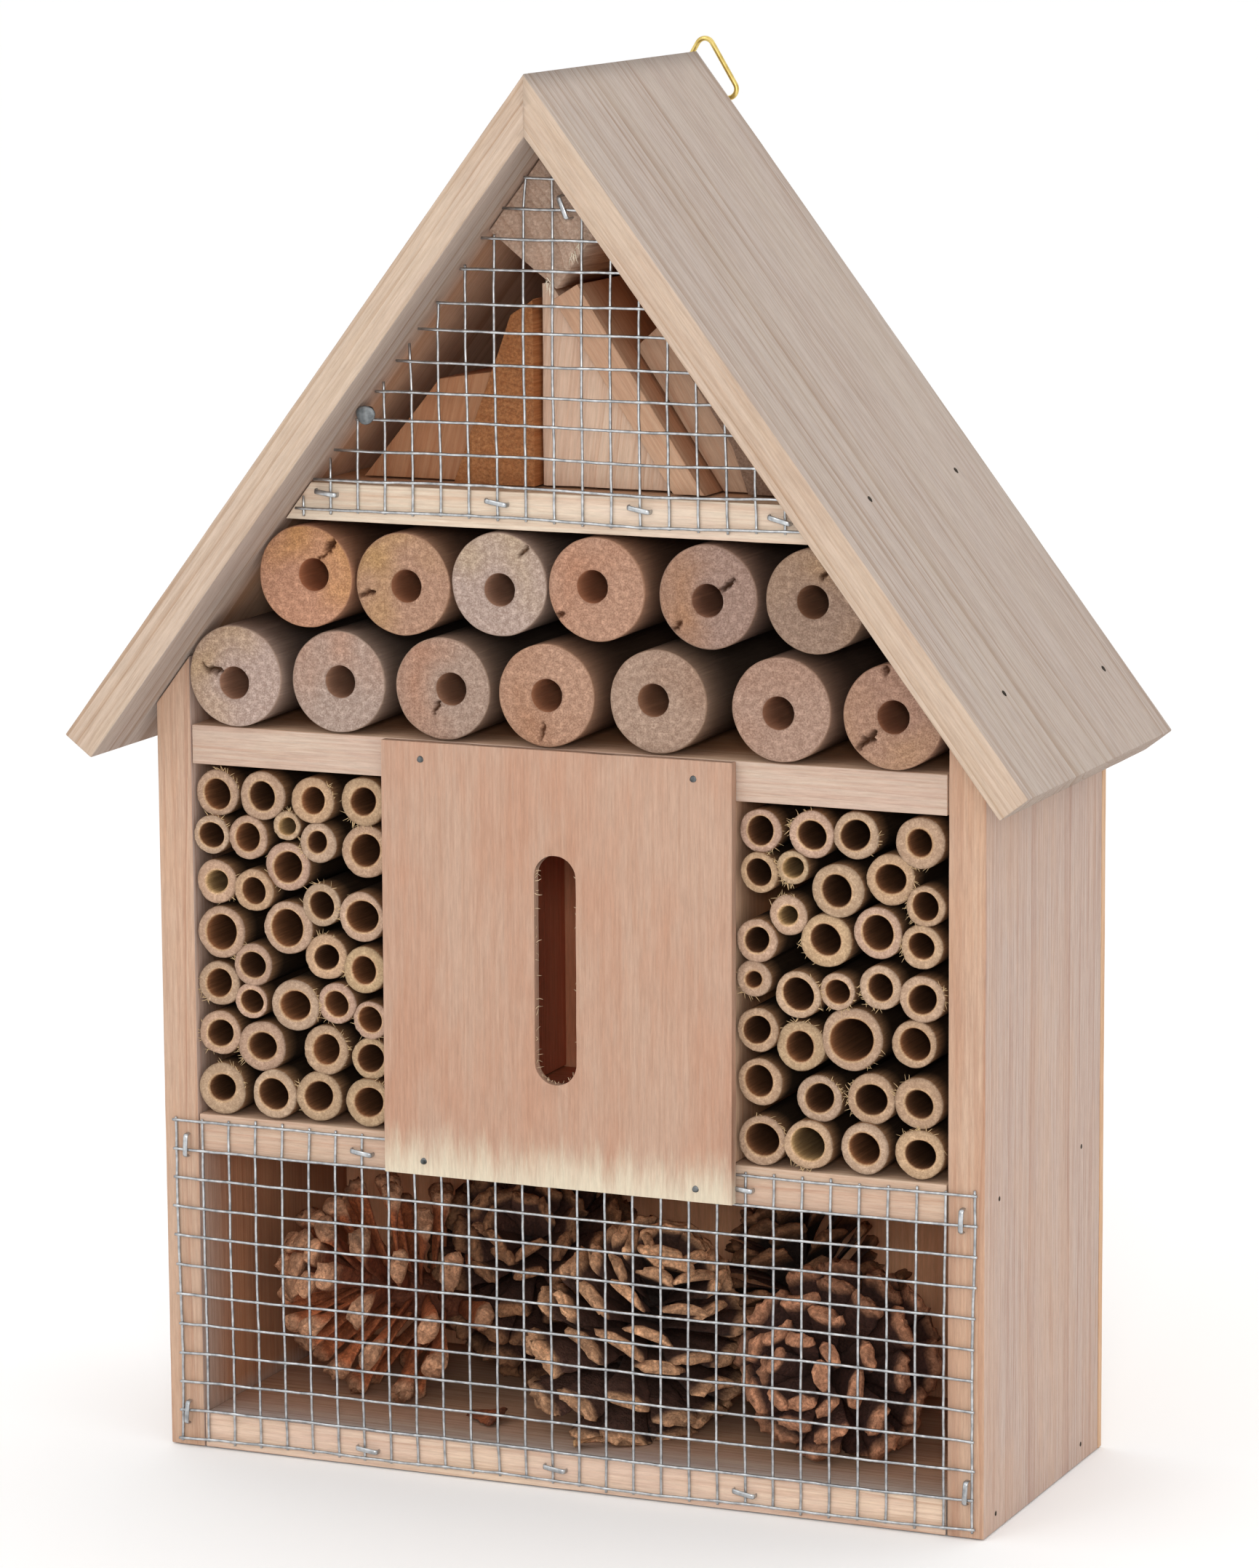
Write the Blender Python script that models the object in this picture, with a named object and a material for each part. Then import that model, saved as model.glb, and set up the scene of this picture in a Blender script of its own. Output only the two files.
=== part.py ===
"""Insect hotel: a pitched-roof softwood case with a wired pine-cone chamber, two bamboo
compartments beside a slotted butterfly chamber, two rows of drilled logs and a wired attic.

Frame: +X to the right seen from the front, +Y to the back, +Z up, metres. The origin is on the
underside of the floor board, halfway between the front edges and the back of the back panel.
"""

import math

import bmesh
import bpy
from mathutils import Vector

MM = 0.001
GAP = 0.3 * MM  # clearance between pieces that touch

# Case
CASE_WIDTH = 252.0 * MM
CASE_DEPTH = 99.0 * MM
BOARD = 10.9 * MM
BACK_THICKNESS = 3.0 * MM
FRONT = -CASE_DEPTH / 2
BACK = CASE_DEPTH / 2
INNER_BACK = BACK - BACK_THICKNESS - GAP
INNER_X = CASE_WIDTH / 2 - BOARD

# Roof
RIDGE_Z = 400.5 * MM
ROOF_SLOPE = math.radians(52.5)
ROOF_LENGTH = 238.3 * MM
ROOF_THICKNESS = 10.4 * MM
ROOF_FRONT_OVERHANG = 19.7 * MM
ROOF_BACK_OVERHANG = 1.8 * MM
APEX_Z = RIDGE_Z - ROOF_THICKNESS / math.cos(ROOF_SLOPE)

# Levels: underside and top of each horizontal board
FLOOR_TOP = 10.4 * MM
LOWER_SHELF = (88.3 * MM, 99.5 * MM)
MIDDLE_SHELF = (201.8 * MM, 213.2 * MM)
ATTIC_SHELF = (273.6 * MM, 284.4 * MM)

# Butterfly chamber
DIVIDER_OUTER = 52.3 * MM
DIVIDER_THICKNESS = 10.8 * MM
PANEL_WIDTH = 106.6 * MM
PANEL_BOTTOM = 88.9 * MM
PANEL_TOP = 213.1 * MM
PANEL_THICKNESS = 3.2 * MM
PANEL_TILT = math.radians(0.6)  # the wires behind its lower edge push it out
SLOT_WIDTH = 12.6 * MM
SLOT_HEIGHT = 65.0 * MM
SLOT_SIDES = 32

# Welded wire mesh, as flat grilles
WIRE = 0.8 * MM
MESH_PITCH = 8.6 * MM
LOWER_MESH_LEFT = -122.0 * MM
LOWER_MESH_COLUMNS = 30
LOWER_MESH_COLUMN_PITCH = 8.44 * MM
LOWER_MESH_BOTTOM = 2.6 * MM
LOWER_MESH_ROWS = 12
ATTIC_MESH_LEFT = -78.0 * MM
ATTIC_MESH_COLUMNS = 18
ATTIC_MESH_BOTTOM = 277.0 * MM
ATTIC_MESH_ROWS = 12

# Drilled logs, in millimetres: x, height of the centre above the middle shelf,
# and how far the hole is off the centre to the right and upwards
LOG_DIAMETER = 29.4
LOG_HOLE = 9.2
LOG_HOLE_DEPTH = 62.0
LOG_LENGTH = 92.0
LOG_SIDES = 16
LOWER_LOGS = (
    (-99.7, 15.0, -0.4, -2.0),
    (-67.7, 15.0, 0.5, 0.0),
    (-35.0, 15.0, 2.5, 0.0),
    (-3.0, 15.0, 0.0, 0.0),
    (30.1, 15.0, -1.5, 0.3),
    (66.8, 15.0, -0.9, -1.0),
    (99.7, 15.0, 0.0, 0.0),
)
UPPER_LOGS = (
    (-76.9, 44.6, 2.5, 0.6),
    (-47.2, 43.7, 1.0, -0.5),
    (-17.4, 45.2, 0.1, -1.5),
    (12.4, 45.4, -1.3, 0.7),
    (45.1, 44.8, -0.2, -1.0),
    (76.9, 45.3, -0.8, -0.2),
)

# Bamboo, in millimetres: each tube's distance from its compartment's left wall, height above
# the lower shelf, outer diameter and bore. Each tube of a group leans on the one before it.
BAMBOO_SIDES = 10
BAMBOO_BORE_DEPTH = 70.0
BAMBOO_LENGTH = 91.5
BAMBOO_LEAN = 0.6  # how far the uneven sides of two leaning tubes sink into each other
SETTLING_ROUNDS = 900
BAMBOO_LEFT = (
    ((54.5, 6.5, 14.3, 8.8), (55, 20.5, 12.2, 8.2), (56, 32.5, 11.4, 7.4), (45, 36, 12.2, 7.4),
     (31, 34, 15.1, 9.0)),
    ((7, 7.5, 15.3, 8.0),),
    ((41, 22.5, 14.5, 8.6), (39, 7.5, 14.7, 8.8), (24, 6.5, 14.5, 9.2), (20.5, 21, 15.3, 8.4),
     (7, 24, 13.3, 8.0)),
    ((6, 38.5, 13.3, 8.2), (17, 33.5, 10.4, 7.0), (19, 45, 12.5, 7.8), (8, 54.5, 15.3, 10.0)),
    ((55, 46, 13.7, 7.8), (41, 48.5, 13.5, 7.6), (28, 56.5, 15.7, 10.4), (40.5, 64.5, 12.5, 7.8),
     (54, 61.5, 14.5, 9.6)),
    ((7, 68.5, 12.9, 6.8), (19, 66.5, 12.5, 7.6), (29.5, 74, 14.3, 9.0), (40, 81.5, 11.8, 6.2),
     (38, 94.5, 13.7, 7.6)),
    ((54.5, 80, 15.3, 9.2), (54, 95, 14.3, 8.0)),
    ((29.5, 86, 8.8, 5.4), (22, 94.5, 14.5, 8.2), (17.5, 81.5, 12.7, 8.0), (6, 81.5, 11.4, 7.6),
     (7.5, 94.5, 13.7, 8.6)),
)
BAMBOO_RIGHT = (
    ((38.5, 7, 14.5, 9.0), (39.5, 23, 14.5, 9.0), (54.5, 22.5, 14.5, 8.0), (54.5, 7, 14.5, 8.6)),
    ((7.5, 7.5, 14.5, 9.6), (22.5, 6, 14.5, 9.6), (24.5, 20, 13.5, 8.4)),
    ((6.5, 24, 13.5, 8.6),),
    ((52.5, 37.5, 13.5, 9.0), (55.5, 51.5, 13.5, 8.2), (42.5, 53.5, 12.5, 7.4)),
    ((6, 39, 12.5, 8.0), (19, 34.5, 14.5, 8.4), (35.5, 37.5, 18.2, 12.4), (30.5, 52, 10.6, 7.0),
     (18.5, 49.5, 13.5, 9.2)),
    ((5.5, 52, 10.6, 4.8), (6, 64, 12.5, 7.2), (16, 72.5, 11.5, 5.6), (27, 64.5, 15.3, 8.8),
     (30.5, 80, 15.3, 8.8)),
    ((41.5, 68.5, 14.5, 9.4), (55.5, 65, 12.5, 7.4), (56, 77.5, 11.5, 7.8), (45.5, 83, 14.5, 8.6),
     (54.5, 94.5, 14.5, 7.4)),
    ((36.5, 95, 13.5, 8.6), (22, 95, 13.5, 8.2), (18, 84.5, 9.6, 6.2), (6, 81.5, 11.5, 7.6),
     (7.5, 95.5, 12.5, 8.0)),
)

# Wood offcuts that fill the attic, in millimetres: outline (x, height above the attic shelf),
# and how far the front face stands back from the case front
OFFCUTS = {
    "offcut_low_block": (((-66, 0.4), (-42, 29), (-25.5, 31.5), (-35.8, 0.4)), 14),
    "offcut_leaning_block": (((-35, 0.4), (-17, 48), (-9.8, 53), (-9.8, 0.4)), 7),
    "offcut_centre_plank": (((-9.2, 0.4), (-9.2, 57), (-6, 57), (31.8, 0.4)), 11),
    "offcut_leaning_plank": (((32.6, 0.4), (-3.0, 53), (4.4, 57.5), (42.2, 0.4)), 5),
    "offcut_rear_plank": (((43, 0.4), (17, 39.5), (23.5, 45.5), (29, 38.5), (46.5, 13), (51, 0.4)), 16),
    "offcut_right_block": (((51.8, 0.4), (47.2, 13.5), (32.5, 36), (33.5, 52.2), (67, 8.5), (70, 0.4)), 12),
}
OFFCUT_BACK = 4.0  # space left between an offcut and the back panel
RIDGE_BLOCK_WIDTH = 34.0 * MM  # along the left roof board
RIDGE_BLOCK_DEPTH = 25.5 * MM  # square to the left roof board

# Pine cones: x, distance behind the case front, length, diameter, and the turn of the long axis
# about the vertical, in millimetres and degrees. They lie on the floor board.
CONES = (
    (-78.0, 45.0, 62.0, 57.0, 12.0),
    (-35.0, 70.0, 48.0, 43.0, 80.0),
    (2.0, 37.0, 57.0, 50.0, 0.0),
    (61.0, 33.0, 46.0, 44.0, 90.0),
    (73.0, 74.0, 44.0, 38.0, 20.0),
)
CONE_SIDES = 12
CONE_RINGS = 9
CONE_SCALE_DEPTH = 0.10  # how far the scales stand out, as a share of the radius

# Hanger: a strap with a rolled eye, two screws and a folding triangular wire loop
HANGER_X = 1.5 * MM
HINGE_Y = BACK + 4.2 * MM
HINGE_Z = 386.9 * MM
STRAP_WIDTH = 11.0 * MM
STRAP_THICKNESS = 1.0 * MM
STRAP_BOTTOM = 345.5 * MM
STRAP_BEND = (366.0 * MM, 373.0 * MM)
EYE_RADIUS = 2.05 * MM
EYE_BORE = 1.1 * MM
LOOP_WIRE = 0.75 * MM
LOOP_BASE = 23.5 * MM
LOOP_HEIGHT = 19.4 * MM
LOOP_CORNER = 2.6 * MM
SCREW_HEIGHTS = {"hanger_screw_lower": 350.5 * MM, "hanger_screw_upper": 360.5 * MM}
SCREW_RADIUS = 1.4 * MM
SCREW_HOLE = 1.75 * MM
SCREW_HEAD_RADIUS = 2.7 * MM
SCREW_HEAD_HEIGHT = 1.6 * MM
SCREW_LENGTH = 14.0 * MM


def clear_scene():
    for item in list(bpy.data.objects):
        bpy.data.objects.remove(item, do_unlink=True)


def material(name, colour, roughness, metallic=0.0):
    found = bpy.data.materials.get(name)
    if found:
        return found
    made = bpy.data.materials.new(name)
    made.use_nodes = True
    shader = made.node_tree.nodes["Principled BSDF"]
    shader.inputs["Base Color"].default_value = (*colour, 1.0)
    shader.inputs["Roughness"].default_value = roughness
    shader.inputs["Metallic"].default_value = metallic
    made.diffuse_color = (*colour, 1.0)
    return made


def pine():
    return material("pine_board", (0.62, 0.44, 0.31), 0.6)


def plywood():
    return material("poplar_plywood", (0.70, 0.45, 0.32), 0.65)


def zinc():
    return material("zinc_wire", (0.55, 0.57, 0.58), 0.35, 1.0)


def brass():
    return material("brass_plating", (0.78, 0.60, 0.27), 0.3, 1.0)


def bamboo():
    return material("bamboo", (0.58, 0.43, 0.28), 0.7)


def log_wood():
    return material("log_wood", (0.55, 0.39, 0.29), 0.75)


def cone_scale():
    return material("cone_scale", (0.26, 0.13, 0.08), 0.7)


def add_object(name, bm, finish, location=(0, 0, 0), parent=None):
    """An object of this mesh, its normals out and its material set."""
    bmesh.ops.recalc_face_normals(bm, faces=bm.faces)
    mesh = bpy.data.meshes.new(name)
    bm.to_mesh(mesh)
    bm.free()
    made = bpy.data.objects.new(name, mesh)
    bpy.context.scene.collection.objects.link(made)
    made.location = location
    made.parent = parent
    made.data.materials.append(finish)
    return made


def block(name, low, high, finish, parent):
    """A rectangular board between two corners, its origin at its centre."""
    low, high = Vector(low), Vector(high)
    bm = bmesh.new()
    bmesh.ops.create_cube(bm, size=1.0)
    bmesh.ops.scale(bm, vec=high - low, verts=bm.verts)
    return add_object(name, bm, finish, (low + high) / 2, parent)


def prism(name, outline, front, back, finish, parent):
    """A board cut to an outline (x, z) and extruded from front to back."""
    bm = bmesh.new()
    face = bm.faces.new([bm.verts.new((x, 0, z)) for x, z in outline])
    extruded = bmesh.ops.extrude_face_region(bm, geom=[face])["geom"]
    moved = [item for item in extruded if isinstance(item, bmesh.types.BMVert)]
    bmesh.ops.translate(bm, vec=(0, back - front, 0), verts=moved)
    return add_object(name, bm, finish, (0, front, 0), parent)


def stack_rings(bm, rings):
    """Joins rings of points, each with the same count, and closes both ends."""
    loops = [[bm.verts.new(point) for point in ring] for ring in rings]
    for lower, upper in zip(loops, loops[1:]):
        for i, corner in enumerate(lower):
            after = (i + 1) % len(lower)
            bm.faces.new((corner, lower[after], upper[after], upper[i]))
    bm.faces.new(loops[0])
    bm.faces.new(loops[-1])


def ring_xz(x, y, z, radius, sides, turn=0.0):
    angles = [turn + math.tau * i / sides for i in range(sides)]
    return [(x + radius * math.cos(a), y, z + radius * math.sin(a)) for a in angles]


def drilled(bm, outer, hole, length, depth, sides, hole_offset=(0.0, 0.0), turn=0.0):
    """A round bar along +Y from y = 0, with a blind hole in its front face."""
    dx, dz = hole_offset
    stack_rings(
        bm,
        [
            ring_xz(0, length, 0, outer, sides, turn),
            ring_xz(0, 0, 0, outer, sides, turn),
            ring_xz(dx, 0, dz, hole, sides, turn),
            ring_xz(dx, depth, dz, hole, sides, turn),
        ],
    )


def helper(item):
    """Hides a cutter or a piece of a union from the renders."""
    item.hide_render = True
    item.display_type = "WIRE"


def cut(item, cutter):
    helper(cutter)
    boolean = item.modifiers.new("cut_" + cutter.name, "BOOLEAN")
    boolean.operation = "DIFFERENCE"
    boolean.object = cutter


def roof_underside(x, clearance=GAP):
    """Height of the roof's underside above x, less a clearance square to it."""
    return APEX_Z - abs(x) * math.tan(ROOF_SLOPE) - clearance / math.cos(ROOF_SLOPE)


def reach_under_roof(z, clearance=GAP):
    """How far from the middle a piece at height z may go before it meets the roof."""
    return (roof_underside(0, clearance) - z) / math.tan(ROOF_SLOPE)


def make_case(parent):
    outer = CASE_WIDTH / 2
    for side, name in ((-1, "side_left"), (1, "side_right")):
        outline = [
            (side * outer, 0),
            (side * INNER_X, 0),
            (side * INNER_X, roof_underside(INNER_X)),
            (side * outer, roof_underside(outer)),
        ]
        prism(name, outline, FRONT, INNER_BACK, pine(), parent)
    inner = INNER_X - GAP
    levels = {"floor_board": (0.0, FLOOR_TOP), "lower_shelf": LOWER_SHELF, "middle_shelf": MIDDLE_SHELF}
    for name, (low, high) in levels.items():
        block(name, (-inner, FRONT, low), (inner, INNER_BACK, high), pine(), parent)
    low, high = ATTIC_SHELF
    wide, narrow = reach_under_roof(low), reach_under_roof(high)
    outline = [(-wide, low), (wide, low), (narrow, high), (-narrow, high)]
    prism("attic_shelf", outline, FRONT, INNER_BACK, pine(), parent)
    for side, name in ((-1, "divider_left"), (1, "divider_right")):
        near, far = sorted((side * (DIVIDER_OUTER - DIVIDER_THICKNESS), side * DIVIDER_OUTER))
        low = (near, FRONT, LOWER_SHELF[1] + GAP)
        high = (far, INNER_BACK, MIDDLE_SHELF[0] - GAP)
        block(name, low, high, pine(), parent)
    outline = [
        (-outer, 0),
        (outer, 0),
        (outer, roof_underside(outer)),
        (0, roof_underside(0)),
        (-outer, roof_underside(outer)),
    ]
    return prism("back_panel", outline, BACK - BACK_THICKNESS, BACK, plywood(), parent)


def make_roof(parent):
    """Two boards mitred at the ridge, with square lower ends."""
    cos, sin = math.cos(ROOF_SLOPE), math.sin(ROOF_SLOPE)
    for side, name in ((-1, "roof_left"), (1, "roof_right")):
        tip = (side * ROOF_LENGTH * cos, RIDGE_Z - ROOF_LENGTH * sin)
        inner_tip = (tip[0] - side * ROOF_THICKNESS * sin, tip[1] - ROOF_THICKNESS * cos)
        mitre = side * GAP / 2
        drop = GAP / 2 * math.tan(ROOF_SLOPE)
        outline = [(mitre, RIDGE_Z - drop), tip, inner_tip, (mitre, APEX_Z - drop)]
        prism(name, outline, FRONT - ROOF_FRONT_OVERHANG, BACK + ROOF_BACK_OVERHANG, pine(), parent)


def make_butterfly_panel(parent):
    """The slotted front of the middle chamber, hung from its upper back edge and tilted out."""
    height = PANEL_TOP - PANEL_BOTTOM
    half = PANEL_WIDTH / 2
    bm = bmesh.new()
    low, high = Vector((-half, -PANEL_THICKNESS, -height)), Vector((half, 0, 0))
    bmesh.ops.create_cube(bm, size=1.0)
    bmesh.ops.scale(bm, vec=high - low, verts=bm.verts)
    bmesh.ops.translate(bm, vec=(low + high) / 2, verts=bm.verts)
    panel = add_object("butterfly_panel", bm, plywood(), (0, FRONT - GAP, PANEL_TOP), parent)
    panel.rotation_euler.x = -PANEL_TILT
    radius = SLOT_WIDTH / 2
    straight = SLOT_HEIGHT / 2 - radius
    outline = []
    for i in range(SLOT_SIDES):
        angle = math.tau * (i + 0.5) / SLOT_SIDES
        shift = math.copysign(straight, math.sin(angle))
        outline.append((radius * math.cos(angle), radius * math.sin(angle) + shift))
    cutter = prism("slot_cutter", outline, -2 * PANEL_THICKNESS, PANEL_THICKNESS, plywood(), panel)
    cutter.location.z = -height / 2
    cut(panel, cutter)


def make_logs(parent):
    radius = LOG_DIAMETER / 2 * MM
    for row, places in (("lower", LOWER_LOGS), ("upper", UPPER_LOGS)):
        for i, (x, height, dx, dz) in enumerate(places):
            bm = bmesh.new()
            drilled(
                bm,
                radius,
                LOG_HOLE / 2 * MM,
                LOG_LENGTH * MM,
                LOG_HOLE_DEPTH * MM,
                LOG_SIDES,
                (dx * MM, dz * MM),
            )
            recess = (0.6 * (i * 2 % 3) - 1.8) * MM
            location = (x * MM, FRONT + recess, MIDDLE_SHELF[1] + height * MM)
            add_object(f"log_{row}_{i + 1}", bm, log_wood(), location, parent)


def settle(groups, width, height):
    """Moves tubes, given as groups of (x, z, diameter, bore), until each leans on the one
    before it in its group and clears every other tube and the compartment's walls."""
    gap = GAP / MM
    tubes = []
    partner = {}
    for group in groups:
        for i, (x, z, diameter, _) in enumerate(group):
            if i:
                partner[len(tubes)] = len(tubes) - 1
            tubes.append([x, z, diameter / 2])
    for _ in range(SETTLING_ROUNDS):
        for i, a in enumerate(tubes):
            for j in range(i + 1, len(tubes)):
                b = tubes[j]
                leaning = partner.get(j) == i
                wanted = a[2] + b[2] + (-BAMBOO_LEAN if leaning else gap)
                dx, dz = b[0] - a[0], b[1] - a[1]
                distance = math.hypot(dx, dz)
                if distance >= wanted and not leaning:
                    continue
                push = (wanted - distance) / distance / 2
                a[0] -= dx * push
                a[1] -= dz * push
                b[0] += dx * push
                b[1] += dz * push
            a[0] = min(max(a[0], gap + a[2]), width - gap - a[2])
            a[1] = min(max(a[1], gap + a[2]), height - gap - a[2])
    places = iter(tubes)
    return [[(*next(places)[:2], tube[2], tube[3]) for tube in group] for group in groups]


def make_bamboo(side, groups, left, parent):
    """One object for each group of leaning tubes, joined by a union."""
    width = (INNER_X - DIVIDER_OUTER) / MM
    height = (MIDDLE_SHELF[0] - LOWER_SHELF[1]) / MM
    for g, group in enumerate(settle(groups, width, height)):
        name = f"bamboo_{side}_{g + 1}"
        pieces = []
        for i, (x, z, diameter, bore) in enumerate(group):
            lean_on = group[i - 1] if i else group[0]
            turn = math.atan2(lean_on[1] - z, lean_on[0] - x)
            bm = bmesh.new()
            drilled(
                bm,
                diameter / 2 * MM,
                bore / 2 * MM,
                BAMBOO_LENGTH * MM,
                BAMBOO_BORE_DEPTH * MM,
                BAMBOO_SIDES,
                turn=turn,
            )
            recess = 0.4 * ((i * 3 + g) % 4) * MM
            location = (left + x * MM, FRONT + recess, LOWER_SHELF[1] + z * MM)
            piece_name = name if i == 0 else f"{name}_tube_{i + 1}"
            pieces.append(add_object(piece_name, bm, bamboo(), location, parent))
        for piece in pieces[1:]:
            helper(piece)
            union = pieces[0].modifiers.new("union_" + piece.name, "BOOLEAN")
            union.operation = "UNION"
            union.object = piece


def make_grille(name, columns, rows, keep, parent):
    """A flat grille of crossing strips, with only the crossings that keep(x, z) allows."""
    half = WIRE / 2
    xs = [edge for x in columns for edge in (x - half, x + half)]
    zs = [edge for z in rows for edge in (z - half, z + half)]
    kept = {(i, j) for i, x in enumerate(columns) for j, z in enumerate(rows) if keep(x, z)}
    bm = bmesh.new()
    corners = {}

    def corner(i, j):
        if (i, j) not in corners:
            corners[i, j] = bm.verts.new((xs[i], 0, zs[j]))
        return corners[i, j]

    def square(i, j):
        bm.faces.new((corner(i, j), corner(i + 1, j), corner(i + 1, j + 1), corner(i, j + 1)))

    for i, j in sorted(kept):
        square(2 * i, 2 * j)
        if (i + 1, j) in kept:
            square(2 * i + 1, 2 * j)
        if (i, j + 1) in kept:
            square(2 * i, 2 * j + 1)
    extruded = bmesh.ops.extrude_face_region(bm, geom=bm.faces[:])["geom"]
    moved = [item for item in extruded if isinstance(item, bmesh.types.BMVert)]
    bmesh.ops.translate(bm, vec=(0, -WIRE, 0), verts=moved)
    return add_object(name, bm, zinc(), (0, FRONT - GAP, 0), parent)


def make_meshes(parent):
    columns = [LOWER_MESH_LEFT + i * LOWER_MESH_COLUMN_PITCH for i in range(LOWER_MESH_COLUMNS)]
    rows = [LOWER_MESH_BOTTOM + i * MESH_PITCH for i in range(LOWER_MESH_ROWS)]
    make_grille("wire_mesh_lower", columns, rows, lambda x, z: True, parent)
    columns = [ATTIC_MESH_LEFT + i * MESH_PITCH for i in range(ATTIC_MESH_COLUMNS)]
    rows = [ATTIC_MESH_BOTTOM + i * MESH_PITCH for i in range(ATTIC_MESH_ROWS)]

    def under_roof(x, z):
        return abs(x) + WIRE / 2 < reach_under_roof(z + WIRE / 2)

    make_grille("wire_mesh_attic", columns, rows, under_roof, parent)


def make_attic_fill(parent):
    for name, (outline, recess) in OFFCUTS.items():
        points = [(x * MM, ATTIC_SHELF[1] + z * MM) for x, z in outline]
        points = [(x, min(z, roof_underside(x, 2 * GAP))) for x, z in points]
        back = INNER_BACK - OFFCUT_BACK * MM
        prism(name, points, FRONT + recess * MM, back, pine(), parent)
    along = Vector((-math.cos(ROOF_SLOPE), -math.sin(ROOF_SLOPE)))
    square = Vector((math.sin(ROOF_SLOPE), -math.cos(ROOF_SLOPE)))
    top = Vector((0, roof_underside(0)))
    left = top + along * RIDGE_BLOCK_WIDTH
    tip = left + square * RIDGE_BLOCK_DEPTH
    # From the tip, the last face runs back parallel to the left board until the right board.
    slope = math.tan(ROOF_SLOPE)
    right_x = (top.y - tip.y + tip.x * slope) / (2 * slope)
    right = (right_x, top.y - right_x * slope)
    outline = [tuple(top), tuple(left), tuple(tip), right]
    return prism("ridge_block", outline, FRONT + 1.5 * MM, INNER_BACK - 0.5 * MM, pine(), parent)


def make_cones(parent):
    for i, (x, behind, length, diameter, turn) in enumerate(CONES):
        rings = []
        for r in range(CONE_RINGS):
            along = (r + 0.5) / CONE_RINGS
            profile = math.sin(math.pi * along ** 0.8) ** 0.6
            ring = []
            for s in range(CONE_SIDES):
                bump = 1 + CONE_SCALE_DEPTH * (-1) ** (s + r)
                radius = profile * bump / (1 + CONE_SCALE_DEPTH) * diameter / 2
                angle = math.tau * s / CONE_SIDES
                ring.append(
                    Vector((
                        (along - 0.5) * length,
                        radius * math.cos(angle),
                        radius * math.sin(angle),
                    ))
                    * MM
                )
            rings.append(ring)
        bm = bmesh.new()
        stack_rings(bm, rings)
        location = (x * MM, FRONT + behind * MM, FLOOR_TOP + GAP + diameter / 2 * MM)
        cone = add_object(f"pine_cone_{i + 1}", bm, cone_scale(), location, parent)
        cone.rotation_euler.z = math.radians(turn)


def strap_outline():
    """The strap's edge view (y, z): flat on the back panel, then stepped out to the eye."""
    near = BACK + GAP
    out = HINGE_Y - EYE_RADIUS
    low, high = STRAP_BEND
    thick = STRAP_THICKNESS
    return [
        (near, STRAP_BOTTOM),
        (near + thick, STRAP_BOTTOM),
        (near + thick, low),
        (out + thick, high),
        (out + thick, HINGE_Z),
        (out, HINGE_Z),
        (out, high),
        (near, low + thick * 0.6),
    ]


def bar_x(name, y, z, radius, half, sides, finish, parent):
    """A round bar along X about the middle of the hanger."""
    angles = [math.tau * i / sides for i in range(sides)]
    rings = [
        [(x, radius * math.cos(a), radius * math.sin(a)) for a in angles] for x in (-half, half)
    ]
    bm = bmesh.new()
    stack_rings(bm, rings)
    return add_object(name, bm, finish, (HANGER_X, y, z), parent)


def make_strap(parent):
    half = STRAP_WIDTH / 2
    bm = bmesh.new()
    stack_rings(bm, [[(x, y, z) for y, z in strap_outline()] for x in (-half, half)])
    strap = add_object("hanger_strap", bm, brass(), (HANGER_X, 0, 0), parent)
    eye = bar_x("strap_eye", HINGE_Y, HINGE_Z, EYE_RADIUS, half, 16, brass(), parent)
    helper(eye)
    union = strap.modifiers.new("eye", "BOOLEAN")
    union.operation = "UNION"
    union.object = eye
    cut(strap, bar_x("eye_bore", HINGE_Y, HINGE_Z, EYE_BORE, 2 * half, 12, brass(), parent))
    return strap


def make_loop(parent):
    """The folding wire loop, upright. Its origin is on the hinge, along its base bar."""
    half = LOOP_BASE / 2
    corners = [Vector((-half, 0)), Vector((half, 0)), Vector((0, LOOP_HEIGHT))]
    points = []
    for i, corner in enumerate(corners):
        before = (corners[i - 1] - corner).normalized()
        after = (corners[(i + 1) % 3] - corner).normalized()
        inside = before.angle(after) / 2
        centre = corner + (before + after).normalized() * LOOP_CORNER / math.sin(inside)
        start = corner + before * LOOP_CORNER / math.tan(inside)
        sweep = math.pi - 2 * inside
        arm = start - centre
        for step in range(6):
            angle = sweep * step / 5
            turned = (
                arm.x * math.cos(angle) - arm.y * math.sin(angle),
                arm.x * math.sin(angle) + arm.y * math.cos(angle),
            )
            points.append((centre.x + turned[0], 0.0, centre.y + turned[1]))
    curve = bpy.data.curves.new("hanger_loop", "CURVE")
    curve.dimensions = "3D"
    curve.bevel_depth = LOOP_WIRE
    curve.bevel_resolution = 2
    spline = curve.splines.new("POLY")
    spline.points.add(len(points) - 1)
    for point, place in zip(spline.points, points):
        point.co = (*place, 1.0)
    spline.use_cyclic_u = True
    loop = bpy.data.objects.new("hanger_loop", curve)
    bpy.context.scene.collection.objects.link(loop)
    loop.location = (HANGER_X, HINGE_Y, HINGE_Z)
    loop.parent = parent
    curve.materials.append(brass())


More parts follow.
